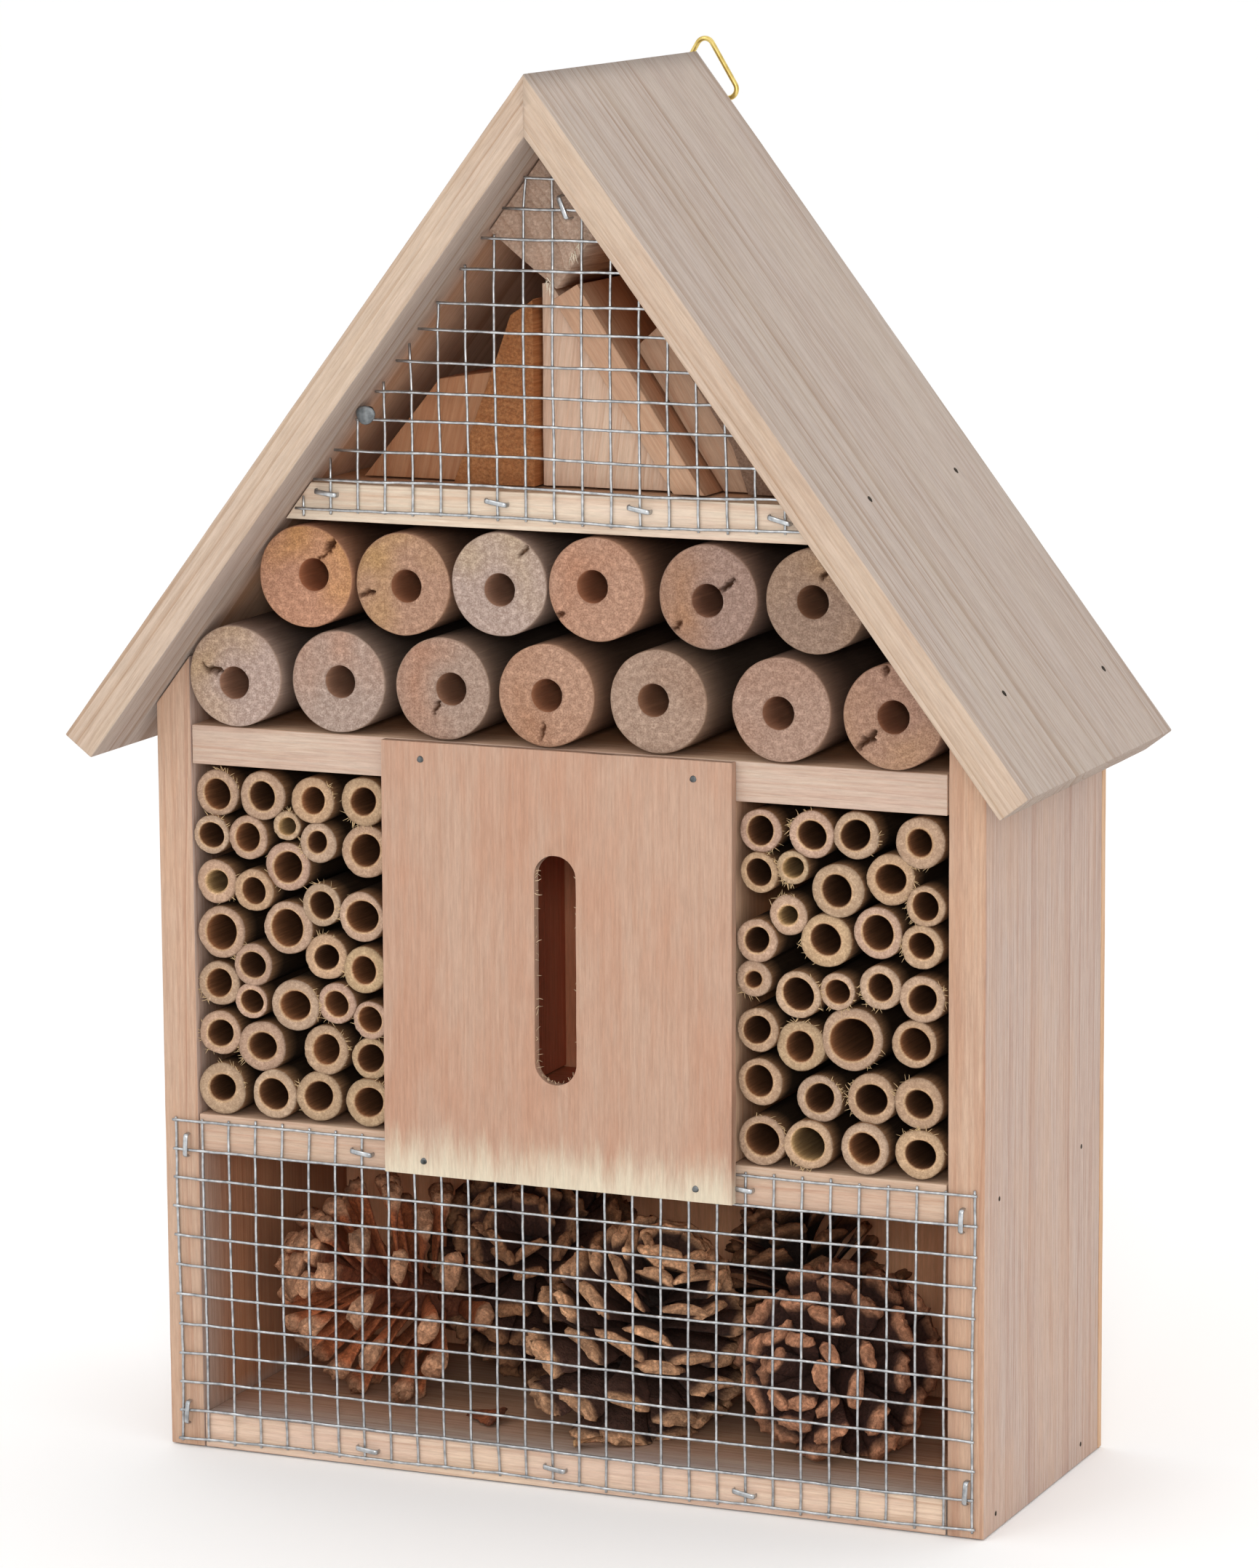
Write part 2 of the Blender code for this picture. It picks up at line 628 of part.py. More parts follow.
def make_screws(strap, back_panel, ridge_block, parent):
    """Two round-headed screws through the strap and the back panel into the ridge block."""
    seat = BACK + GAP + STRAP_THICKNESS + GAP
    for name, height in SCREW_HEIGHTS.items():
        profile = [
            (SCREW_RADIUS, -SCREW_LENGTH),
            (SCREW_RADIUS, 0),
            (SCREW_HEAD_RADIUS, 0),
            (SCREW_HEAD_RADIUS * 0.85, SCREW_HEAD_HEIGHT * 0.6),
            (SCREW_HEAD_RADIUS * 0.45, SCREW_HEAD_HEIGHT),
        ]
        bm = bmesh.new()
        stack_rings(bm, [ring_xz(0, y, 0, radius, 12) for radius, y in profile])
        add_object(name, bm, brass(), (HANGER_X, seat, height), parent)
        hole = bmesh.new()
        ends = (-SCREW_LENGTH - GAP, 0)
        stack_rings(hole, [ring_xz(0, y, 0, SCREW_HOLE, 12) for y in ends])
        cutter = add_object(name + "_hole", hole, brass(), (HANGER_X, seat, height), parent)
        for item in (strap, back_panel, ridge_block):
            cut(item, cutter)


def shade_round_pieces():
    for item in bpy.data.objects:
        if item.type == "MESH":
            item.data.shade_smooth()
            item.data.set_sharp_from_angle(angle=math.radians(35))


def main():
    clear_scene()
    hotel = bpy.data.objects.new("insect_hotel", None)
    bpy.context.scene.collection.objects.link(hotel)
    back_panel = make_case(hotel)
    make_roof(hotel)
    make_butterfly_panel(hotel)
    make_logs(hotel)
    make_bamboo("left", BAMBOO_LEFT, -INNER_X, hotel)
    make_bamboo("right", BAMBOO_RIGHT, DIVIDER_OUTER, hotel)
    make_meshes(hotel)
    ridge_block = make_attic_fill(hotel)
    make_cones(hotel)
    strap = make_strap(hotel)
    make_loop(hotel)
    make_screws(strap, back_panel, ridge_block, hotel)
    shade_round_pieces()


main()
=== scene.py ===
"""Looks of the insect hotel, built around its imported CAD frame.

Row frame: +X to the right seen from the front, +Y to the back, +Z up, metres. Lengths below are in
millimetres and are scaled by MM where a mesh is made.
"""

import random
from math import acos, atan2, copysign, cos, dist, exp, pi, radians, sin, tan, tau

import bmesh
import bpy
import numpy as np
from mathutils import Matrix, Vector, noise


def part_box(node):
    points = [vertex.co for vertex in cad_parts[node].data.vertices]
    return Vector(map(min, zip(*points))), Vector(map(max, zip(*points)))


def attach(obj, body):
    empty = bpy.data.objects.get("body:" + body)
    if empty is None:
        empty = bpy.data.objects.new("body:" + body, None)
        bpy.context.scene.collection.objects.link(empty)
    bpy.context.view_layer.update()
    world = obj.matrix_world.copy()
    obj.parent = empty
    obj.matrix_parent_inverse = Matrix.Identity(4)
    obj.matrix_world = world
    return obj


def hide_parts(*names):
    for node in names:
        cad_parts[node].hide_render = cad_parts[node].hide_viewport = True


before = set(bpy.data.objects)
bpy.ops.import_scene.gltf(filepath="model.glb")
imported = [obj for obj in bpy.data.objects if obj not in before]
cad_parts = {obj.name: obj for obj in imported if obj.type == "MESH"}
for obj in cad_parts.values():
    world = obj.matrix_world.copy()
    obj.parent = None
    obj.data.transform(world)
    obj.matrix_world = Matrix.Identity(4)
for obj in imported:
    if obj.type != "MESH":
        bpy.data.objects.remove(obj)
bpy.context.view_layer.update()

MM = 0.001


def box_mm(node):
    """The low and high corners of a CAD node, in millimetres."""
    return [np.array(corner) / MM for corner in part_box(node)]


# Levels and planes of the case, read from the frame
FRONT = box_mm("side_left")[0][1]
BACK = box_mm("back_panel")[1][1]
FLOOR_TOP = box_mm("floor_board")[1][2]
LOWER_SHELF = [corner[2] for corner in box_mm("lower_shelf")]
MIDDLE_SHELF = [corner[2] for corner in box_mm("middle_shelf")]
INNER_X = box_mm("side_right")[0][0]
RIDGE_Z = box_mm("roof_left")[1][2]
DIVIDER_OUTER = box_mm("divider_right")[1][0]
SLOPE = radians(52.5)
ROOF_THICKNESS = 10.4
APEX_Z = RIDGE_Z - ROOF_THICKNESS / cos(SLOPE)


def under_roof(x, clearance=0.0):
    """The height of the roof's underside at this x."""
    return APEX_Z - abs(x) * tan(SLOPE) - clearance / cos(SLOPE)


def ripple(x, y, z):
    return noise.noise(Vector((x, y, z)))


def unit(vector):
    return vector / np.linalg.norm(vector)


# ---- camera, lights and floor


def add_object(name, data):
    made = bpy.data.objects.new(name, data)
    bpy.context.scene.collection.objects.link(made)
    return made


def add_camera():
    """The camera stands in front, to the right and a little above, and looks down at the hotel."""
    yaw, pitch, roll = radians(-23.571), radians(10.055), radians(-0.402)
    place = (0.6661, -1.5276, 0.4906)
    forward = Vector((sin(yaw) * cos(pitch), cos(yaw) * cos(pitch), -sin(pitch)))
    right = Vector((cos(yaw), -sin(yaw), 0))
    up = right.cross(forward)
    x_axis = right * cos(roll) + up * sin(roll)
    y_axis = -right * sin(roll) + up * cos(roll)
    data = bpy.data.cameras.new("camera")
    data.lens = 136.2
    data.sensor_width = 36.0
    camera = add_object("camera", data)
    rotation = Matrix((x_axis, y_axis, -forward)).transposed().to_4x4()
    camera.matrix_world = Matrix.Translation(place) @ rotation
    bpy.context.scene.camera = camera


def add_light(name, place, size, power, colour=(1, 1, 1)):
    """A soft round light that points at the hotel's middle."""
    data = bpy.data.lights.new(name, "AREA")
    data.shape = "DISK"
    data.size = size
    data.energy = power
    data.color = colour
    aim = (Vector((0, 0, 0.2)) - Vector(place)).to_track_quat("-Z", "Y")
    add_object(name, data).matrix_world = Matrix.Translation(place) @ aim.to_matrix().to_4x4()


def add_studio():
    scene = bpy.context.scene
    scene.view_settings.view_transform = "Standard"
    scene.world = bpy.data.worlds.new("studio")
    scene.world.use_nodes = True
    background = scene.world.node_tree.nodes["Background"]
    background.inputs["Color"].default_value = (1.0, 0.998, 0.995, 1)
    background.inputs["Strength"].default_value = 1.04
    add_light("key", (-0.75, -1.75, 1.25), 0.8, 3.5, (1.0, 0.98, 0.95))
    add_light("front", (0.70, -1.65, 0.62), 0.35, 7.5, (1.0, 0.985, 0.96))
    add_light("top", (0.3, 0.3, 2.0), 1.6, 1.0)
    bm = bmesh.new()
    bmesh.ops.create_circle(bm, cap_ends=True, segments=96, radius=14.0)
    floor = add_object("studio_floor", mesh_from(bm, "studio_floor"))
    floor.location.z = -0.0003
    s = Shader("studio_floor")
    mottle = s.noise(s.coordinates("Object"), 1.5, 2)
    s.feed(s.bsdf.inputs["Base Color"], s.mix(mottle, (0.965, 0.965, 0.965), (0.975, 0.975, 0.975)))
    s.bsdf.inputs["Roughness"].default_value = 0.9
    s.bsdf.inputs["Specular IOR Level"].default_value = 0.1
    floor.data.materials.append(s.material)


# ---- node trees


def srgb(red, green, blue):
    """A display colour, 0 to 255, as linear values."""
    values = [c / 255 for c in (red, green, blue)]
    return tuple(c / 12.92 if c <= 0.04045 else ((c + 0.055) / 1.055) ** 2.4 for c in values)


def dye(red, green, blue):
    """A display colour as an array, for colours that are stored on a mesh."""
    return np.array(srgb(red, green, blue))


class Shader:
    """A material with its node tree, and short ways to add nodes to it."""

    def __init__(self, name):
        self.material = bpy.data.materials.new(name)
        self.material.use_nodes = True
        self.tree = self.material.node_tree
        self.bsdf = self.tree.nodes["Principled BSDF"]

    def feed(self, socket, value):
        if isinstance(value, bpy.types.NodeSocket):
            self.tree.links.new(value, socket)
        elif isinstance(value, tuple) and len(value) == 3 and len(socket.default_value) == 4:
            socket.default_value = (*value, 1.0)
        else:
            socket.default_value = value

    def put(self, kind, *values, **settings):
        """A node of this kind, its inputs fed in order; None leaves one as it is."""
        node = self.tree.nodes.new("ShaderNode" + kind)
        for key, value in settings.items():
            setattr(node, key, value)
        for socket, value in zip(node.inputs, values):
            if value is not None:
                self.feed(socket, value)
        return node

    def attribute(self, name):
        return self.put("Attribute", attribute_name=name)

    def coordinates(self, kind):
        return self.put("TexCoord").outputs[kind]

    def math(self, operation, *values):
        return self.put("Math", *values, operation=operation).outputs[0]

    def times(self, a, b):
        return self.math("MULTIPLY", a, b)

    def plus(self, a, b):
        return self.math("ADD", a, b)

    def vector(self, operation, *values):
        node = self.put("VectorMath", *values, operation=operation)
        return node.outputs["Value" if operation == "LENGTH" else "Vector"]

    def noise(self, place, scale, detail=3, rough=0.5, colour=False):
        node = self.put("TexNoise")
        for key, value in (("Vector", place), ("Scale", scale), ("Detail", detail), ("Roughness", rough)):
            self.feed(node.inputs[key], value)
        return node.outputs["Color" if colour else "Fac"]

    def streaks(self, grain, across, along, *settings, **options):
        """A noise with its own fineness across the grain and along it."""
        return self.noise(self.vector("MULTIPLY", grain, (across, across, along)), 1.0, *settings, **options)

    def mix(self, factor, a, b, blend="MIX"):
        node = self.tree.nodes.new("ShaderNodeMix")
        node.data_type = "RGBA"
        node.blend_type = blend
        for socket, value in ((node.inputs[0], factor), (node.inputs[6], a), (node.inputs[7], b)):
            self.feed(socket, value)
        return node.outputs[2]

    def ramp(self, factor, *stops):
        """Grey levels (position, value) along the factor."""
        node = self.put("ValToRGB", factor)
        elements = node.color_ramp.elements
        while len(elements) < len(stops):
            elements.new(0.5)
        for element, (position, value) in zip(elements, stops):
            element.position = position
            element.color = (value, value, value, 1)
        return node.outputs["Color"]

    def finish(self, colour, roughness, height, bump_mm):
        bump = self.put("Bump")
        for key, value in (("Strength", 0.6), ("Distance", bump_mm * MM), ("Height", height)):
            self.feed(bump.inputs[key], value)
        for key, value in (("Base Color", colour), ("Roughness", roughness), ("Normal", bump.outputs[0])):
            self.feed(self.bsdf.inputs[key], value)
        return self.material


def wood(name, pale, late, blotch, end, ring, contrast, fibre, warp=6.0, blotch_amount=0.4, end_amount=0.6,
         bands=(), fuzz_depth=0.12):
    """Raw sawn softwood in four display colours: early wood, late wood, patches and sawn ends.

    Each mesh carries its place across and along the grain, in millimetres. A band is a level where the colour
    changes along the grain: its start, stop, colour and strength.
    """
    pale, late, blotch, end = (srgb(*colour) for colour in (pale, late, blotch, end))
    s = Shader(name)
    grain = s.attribute("grain").outputs["Vector"]
    cross_cut = s.attribute("end").outputs["Fac"]
    tint = s.attribute("tint").outputs["Color"]
    drift = s.vector("SUBTRACT", s.streaks(grain, 1 / 34, 1 / 190, 2, colour=True), (0.5, 0.5, 0.5))
    bent = s.vector("ADD", grain, s.vector("SCALE", drift, None, None, warp))
    radius = s.vector("LENGTH", s.vector("MULTIPLY", bent, (1, 1, 0)))
    uneven = s.put("TexNoise", noise_dimensions="1D")
    s.feed(uneven.inputs["W"], radius)
    uneven.inputs["Scale"].default_value = 0.11
    turns = s.plus(s.math("DIVIDE", radius, ring), s.times(uneven.outputs[0], 3.0))
    phase = s.math("FRACT", turns)
    rings = s.ramp(phase, (0.0, 0.0), (0.62, 0.08), (0.86, 0.6), (0.95, 1.0), (1.0, 0.0))
    lines = s.ramp(s.streaks(grain, 1.0, 0.02, 6, 0.7), (0.44, 0.0), (0.6, 1.0))
    fuzz = s.streaks(grain, 1.5, 0.13, 6, 0.78)
    fade = s.ramp(s.streaks(grain, 0.05, 0.012, 2), (0.3, 0.45), (0.6, 1.0))
    amount = s.times(s.times(rings, contrast), fade)
    colour = s.mix(amount, pale, late)
    colour = s.mix(s.times(lines, fibre), colour, late)
    spread = s.ramp(s.streaks(grain, 0.06, 0.014, 4, 0.65), (0.42, 0.0), (0.62, 1.0))
    colour = s.mix(s.times(spread, blotch_amount), colour, blotch)
    for start, stop, band, strength in bands:
        height = s.put("SeparateXYZ", grain).outputs[2]
        ragged = s.streaks(grain, 0.16, 0.02, 5, 0.75)
        height = s.plus(height, s.times(ragged, -30.0))
        place = s.put("MapRange", height, start, stop, strength, 0.0, interpolation_type="SMOOTHSTEP")
        colour = s.mix(place.outputs[0], colour, band)
    speckle = s.ramp(s.streaks(grain, 1.1, 0.35, 5, 0.75), (0.38, 0.0), (0.6, 1.0))
    rough_cut = s.mix(speckle, s.mix(0.5, colour, end), colour)
    colour = s.mix(s.times(cross_cut, end_amount), colour, rough_cut)
    # the fuzz multiplies the colour: partly the fibres' own tone, partly painted shade and light of the fine relief
    shade = s.ramp(fuzz, (0.36, 1 - fuzz_depth), (0.62, 1 + fuzz_depth * 0.6))
    colour = s.mix(1.0, colour, shade, "MULTIPLY")
    colour = s.mix(1.0, colour, tint, "MULTIPLY")
    height = s.plus(s.times(rings, 0.35), s.plus(fuzz, s.times(speckle, cross_cut)))
    s.bsdf.inputs["Specular IOR Level"].default_value = 0.25
    return s.finish(colour, s.ramp(lines, (0.0, 0.72), (1.0, 0.84)), height, 0.2)


def toned(name, coarse, fine, dark, light, roughness, bump_mm, specular=0.2, calm=0.0):
    """A finish whose colour is stored on the mesh, with grain at two scales.

    calm evens out all but the sawn ends.
    """
    s = Shader(name)
    grain = s.attribute("grain").outputs["Vector"]
    tone = s.attribute("tint").outputs["Color"]
    big = s.streaks(grain, coarse[0], coarse[1], 4, 0.65)
    small = s.streaks(grain, fine[0], fine[1], 4, 0.7)
    level = s.ramp(s.plus(s.times(big, 0.45), s.times(small, 0.55)), (0.42, 0.0), (0.58, 1.0))
    darker, lighter = (s.mix(1.0, tone, factor, "MULTIPLY") for factor in (dark, light))
    colour = s.mix(level, darker, lighter)
    if calm:
        even = s.times(s.math("SUBTRACT", 1.0, s.attribute("end").outputs["Fac"]), calm)
        colour = s.mix(even, colour, s.mix(1.0, tone, (0.92, 0.9, 0.88), "MULTIPLY"))
    s.bsdf.inputs["Specular IOR Level"].default_value = specular
    return s.finish(colour, s.ramp(big, (0.3, roughness - 0.06), (0.7, roughness + 0.06)), level, bump_mm)


def metal(name, dull, bright, roughness, stain=None):
    """Plated metal with a mottled surface."""
    s = Shader(name)
    place = s.coordinates("Object")
    cloud = s.ramp(s.noise(place, 500.0, 3, 0.5), (0.3, 0.0), (0.7, 1.0))
    colour = s.mix(cloud, dull, bright)
    if stain:
        spots = s.ramp(s.noise(place, 190.0, 3, 0.7), (0.6, 0.0), (0.74, 0.5))
        colour = s.mix(spots, colour, stain)
    s.bsdf.inputs["Metallic"].default_value = 1.0
    return s.finish(colour, s.ramp(cloud, (0.0, roughness + 0.12), (1.0, roughness)), cloud, 0.03)


# ---- meshes


def store(mesh, name, values, kind="FLOAT", domain="POINT"):
    key = {"FLOAT": "value", "FLOAT_VECTOR": "vector", "FLOAT_COLOR": "color"}[kind]
    attribute = mesh.attributes.new(name, kind, domain)
    attribute.data.foreach_set(key, np.asarray(values, np.float32).ravel())


def tint_of(colours):
    colours = np.asarray(colours, float).reshape(-1, 3)
    return np.hstack([colours, np.ones((len(colours), 1))])


def mesh_from(bm, name):
    mesh = bpy.data.meshes.new(name)
    bm.to_mesh(mesh)
    bm.free()
    return mesh


def add_piece(name, mesh, finish, nodes, body="hotel"):
    """An object with this mesh that rides on a body and stands for CAD nodes."""
    mesh.materials.append(finish)
    made = add_object(name, mesh)
    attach(made, body)
    if nodes:
        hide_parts(*nodes)


def cleaned(node):
    """The surface of a CAD node with doubled points joined and flat faces merged."""
    bm = bmesh.new()
    bm.from_mesh(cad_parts[node].data)
    bmesh.ops.remove_doubles(bm, verts=bm.verts, dist=0.02 * MM)
    bmesh.ops.dissolve_limit(bm, angle_limit=radians(0.6), verts=bm.verts, edges=bm.edges)
    return bm


def ease_edges(bm, sharp, width):
    bmesh.ops.bevel(bm, geom=sharp, offset=width * MM, offset_type="OFFSET", segments=2, profile=0.5,
                    affect="EDGES", clamp_overlap=True)


class Builder:
    """Gathers the points, faces, grain places and colours of one mesh, in millimetres."""

    def __init__(self):
        self.points, self.faces, self.grain, self.tint = [], [], [], []

    def add_rings(self, rings, grain=None, tint=(1, 1, 1), closed=False):
        """Joins rings of the same count in order; both ends are closed unless the run is a loop."""
        start, total, count = sum(len(p) for p in self.points), len(rings), len(rings[0])
        stacked = np.vstack(rings)
        self.points.append(stacked)
        self.grain.append(stacked if grain is None else np.vstack(grain))
        self.tint.append(np.asarray(tint, float) * np.ones((len(stacked), 3)))
        for r in range(total if closed else total - 1):
            low, high = start + r * count, start + (r + 1) % total * count
            for i in range(count):
                after = (i + 1) % count
                self.faces.append((low + i, low + after, high + after, high + i))
        if not closed:
            last = start + (total - 1) * count
            self.faces += [range(start + count - 1, start - 1, -1), range(last, last + count)]

    def make(self, name, finish, nodes=(), body="hotel", end=None):
        mesh = bpy.data.meshes.new(name)
        mesh.from_pydata((np.vstack(self.points) * MM).tolist(), [], self.faces)
        mesh.update()
        mesh.shade_smooth()
        store(mesh, "grain", np.vstack(self.grain), "FLOAT_VECTOR")
        store(mesh, "tint", tint_of(np.vstack(self.tint)), "FLOAT_COLOR")
        if end is not None:
            store(mesh, "end", end, domain="FACE")
        add_piece(name, mesh, finish, nodes, body)


def sweep(builder, path, half_width, half_thickness=None, sides=8, across=None, tint=(1, 1, 1), scales=None,
          closed=False):
    """A round or flattened bar along a path. across is the direction that the width keeps."""
    path = np.asarray(path, float)
    half_thickness = half_thickness or half_width
    if closed:
        tangents = np.roll(path, -1, 0) - np.roll(path, 1, 0)
    else:
        tangents = np.gradient(path, axis=0)
    tangents /= np.linalg.norm(tangents, axis=1)[:, None]
    reference = np.array(across or (0.31, 0.93, 0.17), float)
    angles = (np.arange(sides) + 0.5) * tau / sides
    rings = []
    for place, tangent, size in zip(path, tangents, scales or [1.0] * len(path)):
        side = unit(reference - tangent * reference.dot(tangent))
        other = np.cross(tangent, side)
        if across is None:
            reference = side
        wide = np.outer(np.cos(angles) * half_width, side)
        rings.append(place + size * (wide + np.outer(np.sin(angles) * half_thickness, other)))
    builder.add_rings(rings, tint=tint, closed=closed)


# ---- boards


LEVEL = 0.92  # lightness of all the boards under the studio lights
# Painted light and shade inside the case, as colour factors: painted shade deep in a compartment, and a warm painted
# glow of bounced light on the walls of the butterfly chamber
PAINTED_DEPTH_SHADE = (0.95, 0.62, 0.41)
PAINTED_CHAMBER_GLOW = (1.35, 0.74, 0.60)


def inner_shade(place, start, deep, fade):
    """The painted shade of a board at this place behind the front plane at start, as a colour factor; deep is that
    from fade on, and the butterfly chamber's walls get the painted glow.
    """
    x, y, z = place
    inside = abs(x) <= INNER_X + 0.4 and FLOOR_TOP - 0.4 < z < under_roof(x) + 0.6
    if not inside or not start + 0.5 < y < BACK - 0.6:
        return np.ones(3)
    # walls of the butterfly chamber: painted glow of bounced light; elsewhere painted shade that grows with depth
    if abs(x) < DIVIDER_OUTER - 10.4 and LOWER_SHELF[1] - 0.4 < z < MIDDLE_SHELF[0] + 0.4:
        return np.array(PAINTED_CHAMBER_GLOW)
    return 1 + (np.array(deep) - 1) * min(1.0, (y - start) / fade)


def eased(name, finish, along, pith, ease=0.35, cell=8.0, wobble=0.14, tint=(1, 1, 1), front=None,
          deep=PAINTED_DEPTH_SHADE, fade=20.0):
    """A board with its arrises eased and slightly uneven.

    along is the direction of the grain and pith is a point on the line that the rings go round. front is the
    colour factor of the front face, deep and fade are those of inner_shade, and cell is the mesh's step.
    """
    bm = cleaned(name)
    sharp = [e for e in bm.edges
             if e.calc_face_angle(0) > radians(28) and max(abs(v.co.x) for v in e.verts) > 0.5 * MM]
    ease_edges(bm, sharp, ease)
    along = Vector(along).normalized()
    first = Vector((1, 0, 0) if abs(along.y) > 0.9 else (0, 1, 0))
    second = along.cross(first)
    for axis in (along, first, second):
        reach = [v.co.dot(axis) / MM for v in bm.verts]
        low, span = min(reach), max(reach) - min(reach)
        steps = int(span / cell)
        for i in range(1, steps + 1):
            level = low + span * i / (steps + 1)
            bmesh.ops.bisect_plane(bm, geom=[*bm.verts, *bm.edges, *bm.faces], dist=0.00001,
                                   plane_co=axis * level * MM, plane_no=axis)
    bm.normal_update()
    shifts = []
    for vert in bm.verts:
        normals = [f.normal for f in vert.link_faces]
        depth = 0.03
        if any(normals[0].dot(n) < 0.995 for n in normals):
            value = noise.noise(vert.co / (7 * MM)) + 0.6 * noise.noise(vert.co / (2.5 * MM))
            depth = wobble * (0.5 + 0.5 * value)
        shifts.append(-vert.normal * max(0.0, depth) * MM)
    for vert, shift in zip(bm.verts, shifts):
        if abs(vert.co.x) < 0.5 * MM and name.startswith("roof"):
            vert.co.x *= 0.05  # the mitre closes at the ridge
        else:
            vert.co += shift
    bm.normal_update()
    start = min(max(FRONT, box_mm(name)[0][1]), BACK - 30)
    ends, colours = [], []
    for face in bm.faces:
        face.smooth = any(len(e.link_faces) == 2 and e.calc_face_angle(0) > radians(8) for e in face.edges)
        ends.append(1.0 if abs(face.normal.dot(along)) > 0.75 else 0.0)
        base = LEVEL * np.array(front if front and face.normal.y < -0.7 else tint)
        # painted shade inside the case, with painted bounce light where the deep factor is above 1 and in the
        # butterfly chamber
        colours += [base * inner_shade(loop.vert.co / MM, start, deep, fade) for loop in face.loops]
    mesh = mesh_from(bm, name)
    points = np.array([v.co for v in mesh.vertices]) / MM - np.array(pith, float)
    grain = np.stack([points @ np.array(axis) for axis in (first, second, along)], 1)
    store(mesh, "grain", grain, "FLOAT_VECTOR")
    store(mesh, "tint", tint_of(colours), "FLOAT_COLOR", "CORNER")
    store(mesh, "end", ends, domain="FACE")
    add_piece(name + "_board", mesh, finish, (name,))


def make_boards():
    side = wood("pine_side", (214, 186, 166), (170, 118, 94), (219, 178, 148), (160, 120, 92), 5.2, 0.6, 0.36)
    shelf = wood("pine_shelf", (226, 198, 170), (190, 132, 96), (220, 180, 156), (176, 130, 98), 3.6, 0.4, 0.3,
                 blotch_amount=0.45)
    floor = wood("pine_floor", (216, 184, 158), (164, 110, 82), (204, 168, 150), (176, 130, 98), 3.2, 0.55, 0.36,
                 blotch_amount=0.5)
    roof = wood("pine_roof", (206, 188, 174), (158, 124, 94), (214, 198, 180), (170, 134, 104), 4.6, 0.7, 0.3,
                warp=3.5, blotch_amount=0.3)
    back = wood("ply_back", (222, 186, 152), (190, 140, 104), (204, 156, 120), (150, 112, 84), 9.0, 0.3, 0.3,
                warp=16.0)
    panel = wood("ply_panel", (216, 178, 152), (192, 142, 112), (206, 140, 104), (150, 120, 96), 17.0, 0.2, 0.28,
                 warp=26.0, blotch_amount=0.34, bands=((72.0, 89.0, srgb(248, 232, 202), 0.97),))
    upright, level = (0, 0, 1), (1, 0, 0)
    for name, pith in (("side_left", (-160, 14, 0)), ("side_right", (150, 4, 0))):
        eased(name, side, upright, pith, tint=(0.86, 0.91, 0.99), front=(0.84, 0.79, 0.74))
    for name, pith in (("divider_left", (-20, 40, 0)), ("divider_right", (80, -10, 0))):
        eased(name, shelf, upright, pith, tint=(0.84, 0.78, 0.74))
    # the floor's deep factor is painted shade towards the back
    eased("floor_board", floor, level, (0, 22, -30), tint=(0.79, 1.02, 1.29),
          front=(1.16, 1.27, 1.34), deep=(1.10, 0.74, 0.52))
    for name, pith, tint, front in (
        ("lower_shelf", (0, 30, 60), (0.8, 0.78, 0.78), (0.82, 0.82, 0.86)),
        ("middle_shelf", (0, -4, 255), (0.8, 0.78, 0.78), (0.78, 0.82, 0.92)),
        ("attic_shelf", (0, 12, 240), (0.8, 0.84, 0.86), (0.98, 1.12, 1.25)),
    ):
        eased(name, shelf, level, pith, tint=tint, front=front)
    # the back panel's deep factor lightens its inner face: painted bounce light
    eased("back_panel", back, upright, (30, 260, 0), ease=0.2, cell=14.0, deep=(1.38, 1.12, 1.02))
    # the roofs' deep factor warms and lightens their undersides: painted bounce light
    for sign, name, pith in ((1, "roof_right", (70, 22, RIDGE_Z + 12)), (-1, "roof_left", (-70, -20, RIDGE_Z + 20))):
        eased(name, roof, (sign * cos(SLOPE), 0, -sin(SLOPE)), pith, ease=0.45,
              tint=(0.82, 0.83, 0.86), front=(0.92, 0.87, 0.81), deep=(1.5, 1.12, 0.86), fade=8.0)
    eased("butterfly_panel", panel, upright, (14, -170, 0), ease=0.22, cell=6.0, wobble=0.2,
          tint=(0.74, 0.75, 0.78))


def make_offcuts():
    pale = wood("offcut_pale", (222, 186, 158), (190, 134, 100), (210, 168, 142), (160, 110, 78), 4.0, 0.5, 0.36)
    rough = wood("offcut_rough", (196, 146, 106), (146, 92, 58), (178, 116, 70), (112, 66, 40), 2.6, 0.6, 0.5,
                 end_amount=0.9, fuzz_depth=0.22)
    grey = wood("offcut_grey", (202, 172, 150), (150, 112, 88), (190, 150, 124), (130, 92, 70), 3.4, 0.6, 0.3,
                end_amount=0.8, fuzz_depth=0.2)
    eased("ridge_block", grey, (0, 1, 0), (-46, 0, 330), ease=0.5, cell=5.0, wobble=0.4,
          tint=(1.0, 1.06, 1.12))
    for name, finish, along, pith, wobble, tint in (
        ("low_block", pale, (0.25, 0, 1), (-60, 30, 0), 0.3, (0.63, 0.47, 0.35)),
        ("leaning_block", rough, (0, 1, 0), (-30, 0, 240), 0.4, (0.80, 0.66, 0.50)),
        ("centre_plank", pale, (0.12, 0, 1), (-60, 10, 0), 0.5, (0.95, 1.04, 1.12)),
        ("leaning_plank", pale, (-0.56, 0, 0.83), (60, 30, 300), 0.3, (0.8, 0.76, 0.72)),
        ("rear_plank", pale, (-0.5, 0, 0.86), (80, 20, 300), 0.3, (0.7, 0.68, 0.66)),
        ("right_block", grey, (0, 1, 0), (30, 0, 270), 0.4, (0.54, 0.5, 0.48)),
    ):
        eased("offcut_" + name, finish, along, pith, wobble=wobble, tint=tint)


# ---- drilled logs

LOG_RADIUS = 14.7
LOG_BORE = 4.6
LOG_SEGMENTS = 144
SAWN_STEPS = 15
CRACK_SHADE = np.array((0.26, 0.17, 0.11))
